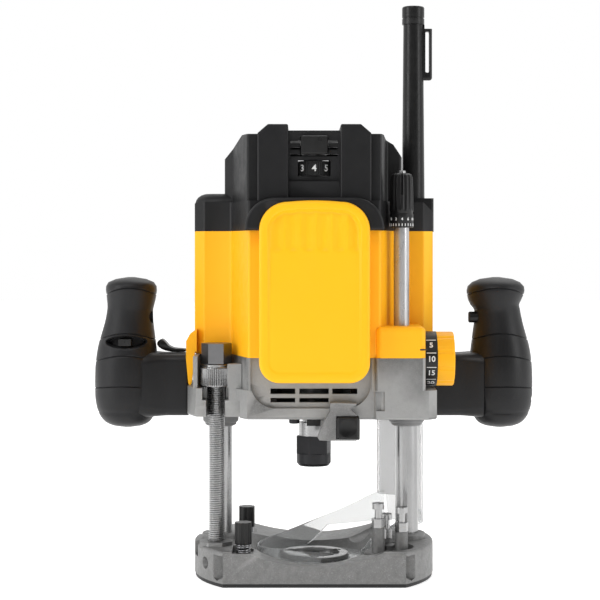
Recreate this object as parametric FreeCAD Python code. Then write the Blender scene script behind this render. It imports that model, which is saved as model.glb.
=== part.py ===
"""Two-handle plunge router. Millimetres; +Z up, -Y towards the front, +X to the right.

The origin is on the spindle axis at the sole of the base. The carriage is shown fully raised.
"""

import FreeCAD, Part
import math
import os

Vec = FreeCAD.Vector
X_AXIS, Y_AXIS, Z_AXIS = Vec(1, 0, 0), Vec(0, 1, 0), Vec(0, 0, 1)
PARTS = "parts"

# --- base -----------------------------------------------------------------------------------
BASE_R = 83.0
BASE_FRONT = -56.0
SOLE_T = 2.5
BASE_FLOOR = 9.0
BASE_MID = 14.0
BASE_TOP = 24.0
BASIN_R = 42.0
BIT_OPENING_R = 31.0
FENCE_ROD_R = 4.05
FENCE_Y = 38.0
FENCE_Z = 13.5
CLAMP_X = -48.0
CLAMP_FLOOR = 20.2
SPRING_R = 4.2
# --- guide columns and height rod -----------------------------------------------------------
COLUMN_X = 65.0
COLUMN_R = 8.0
COLUMN_BORE_R = 5.5
COLUMN_TOP = 150.0
COLUMN_FOOT = 6.0
RUNNING = 0.05
GAP = 0.4
ROD_X, ROD_Y = -66.7, -26.0
ROD_R = 5.5
# --- dust shroud ----------------------------------------------------------------------------
BOWL_OUTER_R, BOWL_INNER_R = 40.0, 38.2
DUCT_X, DUCT_Y = 64.2, 63.0
DUCT_TOP = 178.0
# --- turret and depth rod -------------------------------------------------------------------
TURRET_X, TURRET_Y = 50.5, -35.0
TURRET_R = 16.0
DEPTH_X, DEPTH_Y = 59.0, -38.5
DEPTH_R = 5.2
KNOB_Y, KNOB_Z = -28.5, 151.0
PINION_R = 5.0
# --- carriage -------------------------------------------------------------------------------
CAST_Z = 112.0
CAST_LEFT = 86.8
CAST_STEP = 131.5
SEAM = 153.0
HOUSING_TOP = 238.0
LOW_TIER, LEFT_TIER = 258.0, 264.0
SIDE_TIER = 302.8
LIP_TOP = 259.8
SECOND_TIER = 305.5
RIB_TOP = 309.0
REAR = 50.0
FRONT = -56.0
WALL = 3.5
COVER_HALF = 36.6
COVER_LOW, COVER_HIGH = 137.2, 257.7
COVER_FACE = -70.0
GRIP_X = 129.5
BOLT_Z = (124.0, 143.0)
GRIP_Y = 6.0
ARM_Y0, ARM_Y1 = -9.0, 23.0
ARM_Z0, ARM_Z1 = 109.5, 152.8
BOLT_Y = 19.0
LEVER_PIVOT = (-94.0, 9.0)
BUTTON_Y, BUTTON_Z = GRIP_Y - 3.5, 178.0
# --- top -------------------------------------------------------------------------------------
TUBE_X, TUBE_Y = 71.9, 33.0
TUBE_LOW, TUBE_HIGH = 246.0, 387.0
DIAL_Y = -33.5
HOUSING_SCREWS = ((-74, 26), (74, 20), (-45, REAR - 10), (38, REAR - 10))


# --- helpers --------------------------------------------------------------------------------
def box(x0, x1, y0, y1, z0, z1):
    """A box between two corners."""
    return Part.makeBox(x1 - x0, y1 - y0, z1 - z0, Vec(x0, y0, z0))


def cyl(radius, z0, z1, x=0.0, y=0.0):
    """An upright cylinder."""
    return Part.makeCylinder(radius, z1 - z0, Vec(x, y, z0))


def rod_between(radius, start, end):
    """A cylinder from one point to another."""
    direction = Vec(*end) - Vec(*start)
    return Part.makeCylinder(radius, direction.Length, Vec(*start), direction)


def ring(outer, inner, z0, z1, x=0.0, y=0.0):
    """An upright tube."""
    return cyl(outer, z0, z1, x, y).cut(cyl(inner, z0 - 1, z1 + 1, x, y))


def prism(points, z0, z1):
    """A polygon in plan, pulled up from z0 to z1."""
    wire = Part.makePolygon([Vec(x, y, z0) for x, y in points + points[:1]])
    return Part.Face(wire).extrude(Vec(0, 0, z1 - z0))


def side_prism(points, y0, y1):
    """A polygon in the XZ plane, pulled along Y."""
    wire = Part.makePolygon([Vec(x, y0, z) for x, z in points + points[:1]])
    return Part.Face(wire).extrude(Vec(0, y1 - y0, 0))


def hexagon(across_flats, z0, z1, x=0.0, y=0.0, turn=0.0):
    """A hexagonal prism; turn is in degrees."""
    corner = across_flats / math.sqrt(3)
    angles = [math.radians(turn + 60 * i) for i in range(6)]
    return prism([(x + corner * math.cos(a), y + corner * math.sin(a)) for a in angles], z0, z1)


def fluted(radius, depth, count, z0, z1, x=0.0, y=0.0):
    """A round knob with flutes round its edge."""
    body = cyl(radius, z0, z1, x, y)
    flute = 2.0 * math.pi * radius / count * 0.3
    for i in range(count):
        angle = 2 * math.pi * i / count
        reach = radius + flute - depth
        body = body.cut(cyl(flute, z0 - 1, z1 + 1, x + reach * math.cos(angle), y + reach * math.sin(angle)))
    return body


def softened(shape, radius, chosen=None):
    """Fillets the chosen edges, or leaves the shape alone where the rounding can't be made."""
    edges = [e for e in shape.Edges if chosen is None or chosen(e)]
    try:
        made = shape.makeFillet(radius, edges)
        return made if made.isValid() and made.Volume > 0 else shape
    except Part.OCCError:
        return shape


def upright(edge):
    """True for a straight edge parallel to Z."""
    box_ = edge.BoundBox
    return box_.ZLength > 1.0 and box_.XLength < 1e-6 and box_.YLength < 1e-6


def at_height(z):
    """A test for edges that lie flat at height z."""
    return lambda e: e.BoundBox.ZLength < 1e-6 and abs(e.BoundBox.ZMin - z) < 1e-6


def fused(shapes):
    """One solid from touching shapes."""
    return shapes[0].multiFuse(shapes[1:]).removeSplitter()


def save(name, *shapes):
    """Writes one node: a single solid, or a group of separate solids."""
    solids = [s for shape in shapes for s in shape.Solids]
    Part.makeCompound(solids).exportStep(f"{PARTS}/{name}.step")
    if not all(s.isValid() for s in solids):
        print("INVALID", name)


# --- outlines in plan -----------------------------------------------------------------------
def mirrored(half):
    """Closes a left-hand outline with its mirror image."""
    return half + [(-x, y) for x, y in reversed(half)]


def housing_outline(inset=0.0):
    """Plan of the motor housing: set-back side wings and a motor bay that comes forward."""
    half = [
        (-66 + inset * 0.6, REAR - inset),
        (-83 + inset, 34 - inset * 0.5),
        (-83 + inset, -5 + inset * 0.5),
        (-76 + inset * 0.7, -11.5 + inset),
        (-57 + inset * 1.2, -12.5 + inset),
        (-49 + inset, -40 + inset * 0.6),
        (-44 + inset * 0.7, FRONT + inset),
    ]
    return mirrored(half)


def base_disc(radius, z0, z1, front=BASE_FRONT):
    """The base's D-shaped plan."""
    return cyl(radius, z0, z1).common(box(-100, 100, front, 100, z0, z1))


# --- base -----------------------------------------------------------------------------------
def base_casting():
    plate = base_disc(BASE_R, SOLE_T, BASE_TOP)
    plate = softened(plate, 1.6, at_height(BASE_TOP))
    # The front and rear walls dip in a wide arc between the column lobes.
    saddle = rod_between(118.0, (0, -100, BASE_MID + 118.0), (0, 100, BASE_MID + 118.0))
    plate = plate.cut(saddle.common(box(-47, 47, -100, 100, BASE_MID - 1, 40)))
    bowl = Part.makeCone(BASIN_R, 52.0, BASE_TOP - BASE_FLOOR, Vec(0, 0, BASE_FLOOR))
    plate = plate.cut(bowl)
    plate = plate.cut(cyl(BIT_OPENING_R, 0, 30))
    # Shelves between the lobes keep the casting light at the sides.
    for y0, y1 in ((-24, -12), (14, 26)):
        plate = plate.cut(softened(box(-100, -72, y0, y1, 15, 40), 2.0, upright))
    collar = [cyl(13, BASE_TOP - 2, BASE_TOP + 4, s * COLUMN_X, 0) for s in (-1, 1)]
    collar = [softened(c, 1.2, at_height(BASE_TOP + 4)) for c in collar]
    pad = prism(octagon(ROD_X - 0.3, ROD_Y, 12.0), BASE_TOP - 2, BASE_TOP + 2.5)
    plate = fused([plate] + collar + [pad])
    plate = plate.cut(throat(10.7))
    for side in (-1, 1):
        plate = plate.cut(cyl(COLUMN_R, COLUMN_FOOT, 40, side * COLUMN_X, 0))
        pocket = side_prism([(-4, 40), (-4, 6.5), (0, 3.8), (4, 6.5), (4, 40)], -60, -48)
        pocket.translate(Vec(side * 65.0, 0, 0))
        plate = plate.cut(pocket.common(box(-90, 90, -60, -45, 3, 21)))
    plate = plate.cut(cyl(ROD_R, 8, 40, ROD_X, ROD_Y))
    for y in (-FENCE_Y, FENCE_Y):
        plate = plate.cut(rod_between(FENCE_ROD_R, (-90, y, FENCE_Z), (-35, y, FENCE_Z)))
        plate = plate.cut(cyl(3.05, FENCE_Z, 40, CLAMP_X, y))
        plate = plate.cut(clamp_recess(math.copysign(1, y)))
    plate = plate.cut(cyl(4.0, BASE_FLOOR, 40, TURRET_X, TURRET_Y))
    plate = plate.cut(cyl(TURRET_R + 1, 15.0, 40, TURRET_X, TURRET_Y))
    for x, y in sole_screw_places():
        plate = plate.cut(cyl(2.1, SOLE_T - 1, 8.6, x, y))
    return plate


def clamp_recess(side):
    """The sunk floor under a fence clamp's spring, with a ramp down to it from the outer wall."""
    points = [(-31, 40), (-31, CLAMP_FLOOR), (-44, CLAMP_FLOOR), (-57, BASE_TOP - 1), (-57, 40)]
    wire = Part.makePolygon([Vec(CLAMP_X - 7, -side * y, z) for y, z in points + points[:1]])
    return Part.Face(wire).extrude(Vec(14, 0, 0))


def octagon(x, y, reach):
    """Corner points of an upright octagon."""
    turns = [math.radians(22.5 + 45 * i) for i in range(8)]
    return [(x + reach * math.cos(t), y + reach * math.sin(t)) for t in turns]


def sole_screw_places():
    """Four screws at the corners of a rectangle hold the sole plate."""
    return [(sx * 46.0, sy * 46.0) for sx in (-1, 1) for sy in (-1, 1)]


def sub_base_plate():
    plate = base_disc(BASE_R - 0.6, 0, SOLE_T, BASE_FRONT + 0.6)
    plate = plate.cut(cyl(22.0, -1, 5))
    for x, y in sole_screw_places():
        plate = plate.cut(Part.makeCone(4.2, 2.0, 2.2, Vec(x, y, 0.4)))
        plate = plate.cut(cyl(2.2, -1, 5, x, y))
        plate = plate.cut(cyl(4.2, -1, 0.4, x, y))
    return plate


def sub_base_screws():
    screws = []
    for x, y in sole_screw_places():
        head = Part.makeCone(4.0, 1.9, 2.0, Vec(x, y, 0.5))
        screw = head.fuse(cyl(1.9, 1.0, 8.4, x, y)).cut(box(x - 3, x + 3, y - 0.5, y + 0.5, 0, 1.2))
        screws.append(screw)
    return screws


def guide_bush_ring():
    """The bayonet ring that takes template guide bushes, seated on the sole plate."""
    body = cyl(BIT_OPENING_R - 0.1, SOLE_T, BASE_FLOOR).fuse(cyl(24.0, BASE_FLOOR, BASE_FLOOR + 5))
    body = body.cut(cyl(15.1, 0, 20)).cut(cyl(18.0, BASE_FLOOR + 2, 20))
    for turn in (0, 120, 240):
        angle = math.radians(turn + 30)
        notch = cyl(3.2, BASE_FLOOR + 2, 20, 18.5 * math.cos(angle), 18.5 * math.sin(angle))
        body = body.cut(notch)
    return softened(body, 0.6, at_height(BASE_FLOOR + 5))


def guide_column(side):
    x = side * COLUMN_X
    tube = cyl(COLUMN_R, COLUMN_FOOT, COLUMN_TOP, x, 0)
    tube = tube.makeChamfer(1.0, [e for e in tube.Edges if at_height(COLUMN_TOP)(e)])
    return tube.cut(cyl(COLUMN_BORE_R, 30, COLUMN_TOP + 1, x, 0))


def threaded_rod():
    """A ridged rod: the turns are closed rings at the thread's pitch."""
    pitch, low, high = 3.0, 30.0, 160.5
    core = cyl(ROD_R - 0.7, low, high, ROD_X, ROD_Y)
    root = cyl(ROD_R, 8, low, ROD_X, ROD_Y)
    ridges = []
    for i in range(int((131.0 - low) / pitch)):
        z = low + pitch * i
        up = Part.makeCone(ROD_R - 0.8, ROD_R, pitch * 0.4, Vec(ROD_X, ROD_Y, z))
        down = Part.makeCone(ROD_R, ROD_R - 0.8, pitch * 0.4, Vec(ROD_X, ROD_Y, z + pitch * 0.4))
        ridges += [up, down]
    return fused([core, root] + ridges)


def shroud_profile(y0, y1):
    """The space above the shroud's sweeping top edge, low at the left and high at the duct."""
    low = Vec(-44, y0, 19.5)
    mid = Vec(13, y0, 29.0)
    high = Vec(52, y0, 43.0)
    edge = Part.Arc(low, mid, high).toShape()
    rest = Part.makePolygon([high, Vec(52, y0, 140), Vec(-60, y0, 140), Vec(-60, y0, 19.5), low])
    return Part.Face(Part.Wire([edge] + rest.Edges)).extrude(Vec(0, y1 - y0, 0))


def oval(half_x, half_y, x, y, z):
    """A closed ellipse wire, level at height z."""
    if half_x >= half_y:
        curve = Part.Ellipse(Vec(x, y, z), half_x, half_y)
    else:
        curve = Part.Ellipse(Vec(x, y + half_y, z), Vec(x + half_x, y, z), Vec(x, y, z))
    return Part.Wire(curve.toShape())


def dust_shroud():
    """A clear bowl round the bit, open at the front, whose wall rises into an upright oval duct."""
    bowl = ring(BOWL_OUTER_R, BOWL_INNER_R, BASE_FLOOR + 0.1, 60)
    bowl = bowl.cut(shroud_profile(-50, 60))
    bowl = bowl.cut(box(-50, 50, -50, -8, 17.0, 70))
    floor = ring(BOWL_OUTER_R, 25.0, BASE_FLOOR + 0.1, BASE_FLOOR + 1.8)
    outer_duct = Part.makeLoft([oval(17, 11, DUCT_X, DUCT_Y, z) for z in (25, DUCT_TOP)], True)
    inner_duct = Part.makeLoft([oval(15.3, 9.3, DUCT_X, DUCT_Y, z) for z in (27, DUCT_TOP + 1)], True)
    link_outer = throat(10.2)
    link_inner = throat(8.6)
    outer = fused([outer_duct, link_outer])
    outer = outer.cut(cyl(BOWL_OUTER_R - 1, 0, 100))
    inner = inner_duct.fuse(link_inner)
    shell = outer.cut(inner)
    whole = fused([bowl.cut(link_inner), floor, shell])
    whole = whole.cut(cyl(13.4, 0, 80, COLUMN_X, 0))
    return max(whole.Solids, key=lambda s: s.Volume)


def throat(radius):
    """The sloping throat between the bowl and the duct's foot."""
    start, end = Vec(20, 26, 22.5), Vec(DUCT_X, DUCT_Y, 34)
    return Part.makeCylinder(radius, (end - start).Length, start, end - start)


def helix_spring(radius, wire, turns, z0, z1, x, y):
    """A round-wire compression spring."""
    pitch = (z1 - z0 - 2 * wire) / turns
    path = Part.makeHelix(pitch, z1 - z0 - 2 * wire, radius)
    section = Part.Wire(Part.makeCircle(wire, Vec(radius, 0, 0), Vec(0, 1, 0)))
    spring = Part.Wire(path).makePipeShell([section], True, True)
    spring.translate(Vec(x, y, z0 + wire))
    return spring


def turret_pivot_screw():
    shank = cyl(3.9, BASE_FLOOR, 15.1, TURRET_X, TURRET_Y)
    head = hexagon(8.0, 21.4, 25.6, TURRET_X, TURRET_Y, 12)
    return fused([shank, cyl(3.0, 14, 22, TURRET_X, TURRET_Y), head])


# --- turret ---------------------------------------------------------------------------------
def turret_stops():
    """Places and heights of the three stop bolts; the first is under the depth rod."""
    reach = math.hypot(DEPTH_X - TURRET_X, DEPTH_Y - TURRET_Y)
    first = math.atan2(DEPTH_Y - TURRET_Y, DEPTH_X - TURRET_X)
    stops = []
    for i, top in enumerate((51.5, 45.0, 54.5)):
        angle = first + math.radians(120 * i)
        stops.append((TURRET_X + reach * math.cos(angle), TURRET_Y + reach * math.sin(angle), top))
    return stops


def turret_disc():
    disc = cyl(TURRET_R, 15.5, 21.0, TURRET_X, TURRET_Y)
    disc = softened(disc, 1.0, at_height(21.0))
    for x, y, top in turret_stops():
        disc = disc.fuse(cyl(4.3, 20, top - 17, x, y))
    for x, y, top in turret_stops():
        disc = disc.cut(cyl(2.45, 16, 80, x, y))
    return disc.cut(cyl(3.06, 10, 40, TURRET_X, TURRET_Y)).removeSplitter()


def turret_stop_bolts():
    bolts = []
    for x, y, top in turret_stops():
        head = softened(cyl(4.1, top - 4.2, top, x, y), 0.7, at_height(top))
        bolt = fused([cyl(2.45, 17, top - 4, x, y), head])
        bolts.append(bolt.cut(box(x - 5, x + 5, y - 0.6, y + 0.6, top - 1.3, top + 1)))
    return bolts


def turret_lock_nuts():
    nuts = []
    for i, (x, y, top) in enumerate(turret_stops()):
        nut = hexagon(8.0, top - 16.9, top - 10.5, x, y, 20 * i + 8)
        nuts.append(nut.cut(cyl(2.45, 0, 80, x, y)))
    return nuts


# --- fence clamps and height rod nuts ---------------------------------------------------------
def clamp_drop(y):
    """The rear screw is turned a little further in than the front one."""
    return -1.0 if y > 0 else 0.0


def fence_knob(y):
    drop = clamp_drop(y)
    low, high = CLAMP_FLOOR + 6.2 + drop, CLAMP_FLOOR + 20.8 + drop
    knob = fluted(5.8, 0.7, 8, low, high, CLAMP_X, y)
    knob = softened(knob, 0.9, at_height(high))
    return knob.fuse(cyl(3.0, 19.6 + drop, low + 2, CLAMP_X, y)).removeSplitter()


def faceted_spring(radius, wire, turns, z0, z1, x, y):
    """A small compression spring made of short straight lengths of octagonal wire."""
    steps = 16 * turns
    rise = (z1 - z0 - 2 * wire) / steps
    rings = []
    for i in range(steps + 1):
        angle = math.radians(22.5 * i)
        out = Vec(math.cos(angle), math.sin(angle), 0)
        centre = Vec(x, y, z0 + wire + rise * i) + out * radius
        corners = [math.radians(22.5 + 45 * k) for k in range(8)]
        points = [centre + out * (wire * math.cos(c)) + Z_AXIS * (wire * math.sin(c)) for c in corners]
        rings.append(Part.makePolygon(points + points[:1]))
    return Part.makeLoft(rings, True, True)


def fence_clamp_springs():
    springs = []
    for y in (-FENCE_Y, FENCE_Y):
        top = CLAMP_FLOOR + 6.0 + clamp_drop(y)
        springs.append(faceted_spring(SPRING_R, 0.55, 3, CLAMP_FLOOR + 0.15, top, CLAMP_X, y))
    return springs


def knurled_stop_nut():
    nut = fluted(11.2, 0.35, 44, CAST_STEP + GAP, 145.6, ROD_X, ROD_Y)
    collar = cyl(10.2, 145.6, 147.2, ROD_X, ROD_Y)
    return fused([nut, collar]).cut(cyl(ROD_R - 0.7 + RUNNING, 100, 170, ROD_X, ROD_Y))


def hexagon_lock_nut():
    nut = hexagon(18.0, 147.6, 161.4, ROD_X, ROD_Y)
    top = Part.makeCone(12.5, 9.6, 2.9, Vec(ROD_X, ROD_Y, 160.0))
    nut = nut.common(fused([cyl(12.5, 140, 160, ROD_X, ROD_Y), top]))
    return nut.cut(cyl(ROD_R - 0.7 + RUNNING, 140, 160.9, ROD_X, ROD_Y))


# --- carriage -------------------------------------------------------------------------------
def cast_lower_outline():
    return [
        (-66, REAR), (-CAST_LEFT, 34), (-CAST_LEFT, -22), (-80, -40), (-53, -42), (-45, FRONT),
        (39.5, FRONT), (41, -59), (76, -59), (81.8, -53), (81.8, 34), (66, REAR),
    ]


def cast_upper_outline():
    return [
        (-66, REAR), (-80, 36), (-80, -6), (-75, -11.5), (-57, -12.5), (-49, -40), (-45, FRONT),
        (39.5, FRONT), (41, -59), (74, -59), (74, 38), (66, REAR),
    ]


def carriage_casting():
    lower = softened(prism(cast_lower_outline(), CAST_Z, CAST_STEP), 3.0, upright)
    lower = softened(lower, 1.5, at_height(CAST_Z))
    upper = softened(prism(cast_upper_outline(), CAST_STEP - 0.5, SEAM), 2.5, upright)
    body = fused([lower, upper])
    inner = prism(housing_outline(6.0), CAST_Z + 6, SEAM + 1)
    body = body.cut(inner)
    # A U-shaped panel, set back, holds the front cover's foot and the air outlets.
    panel = softened(box(-42.5, 37.8, FRONT - 5, FRONT + 2.5, 119.5, 170), 17.0, bottom_corner)
    body = body.cut(panel.common(box(-42.5, 37.8, FRONT - 5, FRONT + 2.5, 119.5, SEAM + 1)))
    # Under the height rod's fork the front slopes back.
    slope = prism([(-41.9, 123.4), (-60, 123.4), (-60, 111), (-36.5, 111)], -90, -50)
    slope.rotate(Vec(0, 0, 0), Vec(1, 1, 1), 120)
    body = body.cut(slope)
    # Two walls stand beside the height rod's nuts.
    left_wall = box(-82, -79.1, -38, -4, CAST_STEP - 0.5, SEAM)
    right_wall = prism([(-58.6, -42), (-49, -42), (-48, -28), (-54.4, -28), (-55.5, -32), (-58.6, -35.8)],
                       CAST_STEP - 0.5, 148.0)
    solid = [body, left_wall, right_wall]
    for side in (-1, 1):
        solid.append(cyl(13.0, CAST_Z - 2.5, CAST_STEP, side * COLUMN_X, 0))
        solid.append(cyl(12.3, CAST_STEP - 1, SEAM, side * COLUMN_X, 0))
    solid.append(cyl(26.0, CAST_Z, 137, 0, 0))
    solid.append(cyl(22.5, CAST_Z, 139, TURRET_X, TURRET_Y).common(prism(cast_upper_outline(), 100, 160)))
    solid.append(cyl(10.0, 135, SEAM, DEPTH_X, DEPTH_Y))
    body = fused(solid)
    for side in (-1, 1):
        body = body.cut(cyl(10.0, CAST_Z - 4, SEAM + 1, side * COLUMN_X, 0))
    body = body.cut(cyl(17.5, 100, 120)).cut(cyl(20.0, 118, 160))
    body = body.cut(cyl(18.5, 100, 134.5, TURRET_X, TURRET_Y))
    body = body.cut(cyl(DEPTH_R + RUNNING, 100, 160, DEPTH_X, DEPTH_Y))
    body = body.cut(cyl(ROD_R + 1.0, 100, 160, ROD_X, ROD_Y))
    body = body.cut(box(ROD_X - 9, ROD_X + 9, -60, ROD_Y, 123.5, CAST_STEP + 1))
    slots = [(-29.3, -12.8), (-10.0, 9.6), (11.9, 28.6)]
    for x0, x1 in slots:
        body = body.cut(box(x0, x1, FRONT - 2, FRONT + 12, 128.9, 132.6))
    for x0, x1 in slots[:2]:
        body = body.cut(box(x0, x1, FRONT - 2, FRONT + 12, 123.3, 126.3))
    for x in (-40, -20, 0, 20, 40):
        body = body.cut(box(x - 7, x + 7, REAR - 12, REAR + 2, 128, 133))
    # The pinion shaft and its rack pocket.
    body = body.cut(rod_between(3.05, (50, KNOB_Y, KNOB_Z), (90, KNOB_Y, KNOB_Z)))
    body = body.cut(rod_between(PINION_R + 1.2, (52, KNOB_Y, KNOB_Z), (66, KNOB_Y, KNOB_Z)))
    # A thumb-wide flute beside the right-hand block.
    body = body.cut(rod_between(3.2, (43.5, FRONT - 3.4, 131), (43.5, FRONT - 3.4, 118)))
    for side in (-1, 1):
        for z in BOLT_Z:
            body = body.cut(rod_between(3.2, (side * 60, BOLT_Y, z), (side * 95, BOLT_Y, z)))
    return max(body.removeSplitter().Solids, key=lambda s: s.Volume)


def bottom_corner(edge):
    """True for the panel's two lower corner edges, which run along Y."""
    bounds = edge.BoundBox
    return bounds.YLength > 1 and bounds.XLength < 1e-6 and bounds.ZLength < 1e-6 and bounds.ZMin < 130


def column_bushes():
    bushes = []
    for side in (-1, 1):
        for z0 in (CAST_Z - 1.0, 136.0):
            bushes.append(ring(9.95, COLUMN_R + RUNNING, z0, z0 + 16, side * COLUMN_X, 0))
    return bushes


def column_seals():
    seals = []
    for side in (-1, 1):
        seal = cyl(12.4, 106.5, CAST_Z - 2.6, side * COLUMN_X, 0)
        seal = softened(seal, 1.2, at_height(106.5))
        seals.append(seal.cut(cyl(COLUMN_R + 0.08, 90, 120, side * COLUMN_X, 0)))
    return seals


def motor_housing():
    body = softened(prism(housing_outline(), SEAM + 0.1, HOUSING_TOP), 2.2, upright)
    body = body.cut(prism(housing_outline(WALL), SEAM - 1, HOUSING_TOP - 4))
    boss = softened(box(41, 74, -59, -12, SEAM + 0.1, 174), 4.0, upright)
    boss = softened(boss, 3.0, at_height(174))
    # A shoulder above the left arm, and a tongue that hangs from it in front of the arm.
    shoulder = side_prism([(-81, 170), (-85.4, 167.4), (-88.4, 162), (-88.4, 155), (-81, 155)], -14, 20)
    shoulder = softened(shoulder, 1.5, lambda e: e.BoundBox.YLength > 20 and e.BoundBox.XMin < -83.5)
    tongue = side_prism([(-82.2, 156), (-88.4, 156), (-88.4, 150), (-86.9, 133.2), (-86.2, 131.8),
                         (-85.2, 131.8), (-84.4, 133.2)], -14, -9.6)
    parts = [body, boss, shoulder, tongue]
    for side in (-1, 1):
        parts.append(cyl(4.5, 222, HOUSING_TOP - 3, side * COLUMN_X, 0))
    parts.append(ring(17.5, 14.0, 224, HOUSING_TOP - 3))
    # Three webs hold the stator.
    for turn in (30, 150, 270):
        web = box(42.1, 52, -3, 3, 165, 210)
        web.rotate(Vec(0, 0, 0), Z_AXIS, turn)
        parts.append(web.common(prism(housing_outline(1.0), 150, 240)))
    body = fused(parts)
    body = body.cut(cyl(DEPTH_R + RUNNING, 140, 180, DEPTH_X, DEPTH_Y))
    body = body.cut(cyl(14.0, 225, 235)).cut(cyl(8.6, 220, 245))
    body = body.cut(rod_between(19.0, (74, KNOB_Y, KNOB_Z), (90, KNOB_Y, KNOB_Z)))
    body = body.cut(rod_between(3.05, (50, KNOB_Y, KNOB_Z), (90, KNOB_Y, KNOB_Z)))
    body = body.cut(rod_between(PINION_R + 1.2, (52, KNOB_Y, KNOB_Z), (66, KNOB_Y, KNOB_Z)))
    for x, y in HOUSING_SCREWS:
        body = body.cut(cyl(2.05, HOUSING_TOP - 6, HOUSING_TOP + 1, x, y))
    for x in (-48, -16, 16, 48):
        for z in (170, 182, 194):
            body = body.cut(box(x - 10, x + 10, REAR - 6, REAR + 2, z, z + 4.5))
    return max(body.Solids, key=lambda s: s.Volume)


def cover_outline(y, inset, low, corner_low, corner_high):
    """The front cover's outline: small lower corners and a wide arched top."""
    x, top, high = COVER_HALF - inset, COVER_HIGH - inset, corner_high
    crown = 1.8
    p = [Vec(-x, y, low + corner_low), Vec(-x, y, top - high), Vec(-x + high, y, top - crown),
         Vec(x - high, y, top - crown), Vec(x, y, top - high), Vec(x, y, low + corner_low),
         Vec(x - corner_low, y, low), Vec(-x + corner_low, y, low)]
    bend = math.sqrt(0.5)
    shoulder_mid = Vec(-x + high * (1 - bend), y, top - high + (high - crown) * bend)
    edges = [
        Part.LineSegment(p[0], p[1]).toShape(),
        Part.Arc(p[1], shoulder_mid, p[2]).toShape(),
        Part.Arc(p[2], Vec(0, y, top), p[3]).toShape(),
        Part.Arc(p[3], Vec(-shoulder_mid.x, y, shoulder_mid.z), p[4]).toShape(),
        Part.LineSegment(p[4], p[5]).toShape(),
        Part.Arc(p[5], Vec(x - corner_low * (1 - bend), y, low + corner_low * (1 - bend)), p[6]).toShape(),
        Part.LineSegment(p[6], p[7]).toShape(),
        Part.Arc(p[7], Vec(-x + corner_low * (1 - bend), y, low + corner_low * (1 - bend)), p[0]).toShape(),
    ]
    return Part.Face(Part.Wire(edges))


def front_cover():
    solid = cover_outline(COVER_FACE, 0, COVER_LOW, 13.5, 19).extrude(Vec(0, FRONT - COVER_FACE - 0.1, 0))
    solid = softened(solid, 2.5, lambda e: e.BoundBox.YMax < COVER_FACE + 0.01)
    panel = cover_outline(COVER_FACE - 1, 7.0, COVER_LOW + 8, 10, 14).extrude(Vec(0, 2.0, 0))
    solid = solid.cut(panel)
    hollow = cover_outline(COVER_FACE + 4, 3.5, COVER_LOW + 3.5, 10, 16).extrude(Vec(0, 20, 0))
    return solid.cut(hollow)


def top_housing():
    """The black upper housing: a low tier, a taller motor tier and two front ribs."""
    low_tier = prism(housing_outline(), HOUSING_TOP, LOW_TIER)
    low_cap = [(-84, HOUSING_TOP), (-84, 256), (-77, LEFT_TIER), (0, LEFT_TIER), (0, LOW_TIER), (76, LOW_TIER),
               (84, 250.5), (84, HOUSING_TOP)]
    low_tier = softened(low_tier, 2.2, upright).common(side_prism(low_cap, -60, 60))
    tier_plan = [(-50, REAR - 2), (-62, 34), (-62, -6), (-56, -12), (-48, -40), (-45, -50),
                 (45, -50), (47, -40), (50, -12), (61, -12), (61, 34), (50, REAR - 2)]
    tier = softened(prism(tier_plan, HOUSING_TOP, SECOND_TIER), 2.2, upright)
    cap = [(-62, HOUSING_TOP), (-62, 288), (-49, SIDE_TIER), (-17.6, SIDE_TIER), (-17.6, SECOND_TIER),
           (17.6, SECOND_TIER), (17.6, SIDE_TIER), (47, SIDE_TIER), (55, 298), (61, 289), (61, HOUSING_TOP)]
    tier = tier.common(side_prism(cap, -70, 60))
    parts = [low_tier, tier]
    for side in (-1, 1):
        rib = [(17.5, HOUSING_TOP), (17.5, RIB_TOP), (31, RIB_TOP), (38, 303), (38, HOUSING_TOP)]
        rib = [(side * x, z) for x, z in rib]
        parts.append(softened(side_prism(rib, -56, 20), 1.2))
    # The lip that arches over the front cover.
    lip = box(-46, 46, -66, -48, HOUSING_TOP, LIP_TOP)
    lip = softened(lip, 20.0, lambda e: e.BoundBox.YLength > 10 and e.BoundBox.ZMin > LIP_TOP - 1)
    parts.append(softened(lip, 2.0, lambda e: e.BoundBox.YMax < -65.9))
    parts.append(softened(box(60, 86, 24, 44, HOUSING_TOP, 262), 2.0, upright))
    body = fused(parts)
    body = body.cut(box(-17.5, 17.5, -60, -44, 271, 320))
    slope = side_prism([(-17.5, 250), (-17.5, 272), (17.5, 272), (17.5, 250)], -70, -56)
    body = body.cut(slope.common(box(-20, 20, -70, -56, 265, 272)))
    cover_clear = cover_outline(-90, -0.3, COVER_LOW, 13.5, 19).extrude(Vec(0, 90 + FRONT, 0))
    body = body.cut(cover_clear)
    hollow = prism(housing_outline(WALL + 0.5), HOUSING_TOP - 1, HOUSING_TOP + 8)
    room = [(x * 0.92, max(y * 0.92, -39.5)) for x, y in tier_plan]
    body = body.cut(hollow).cut(prism(room, HOUSING_TOP + 7, SECOND_TIER - 6))
    for z in (288, 292.5, 297):
        body = body.cut(box(-16, 16, -45, -30, z, z + 1.6))
    body = body.cut(box(-11.0, 11.0, -46, -20, 274.6, 285.4))
    body = body.cut(box(-9.5, 9.5, -46, -30, 288.6, 302))
    for i in range(9):
        x = -36 + 9 * i
        body = body.cut(box(x - 2.2, x + 2.2, REAR - 8, REAR + 2, 262, 292))
    body = body.cut(cyl(8.4, TUBE_LOW, 320, TUBE_X, TUBE_Y))
    return max(body.removeSplitter().Solids, key=lambda s: s.Volume)


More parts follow.
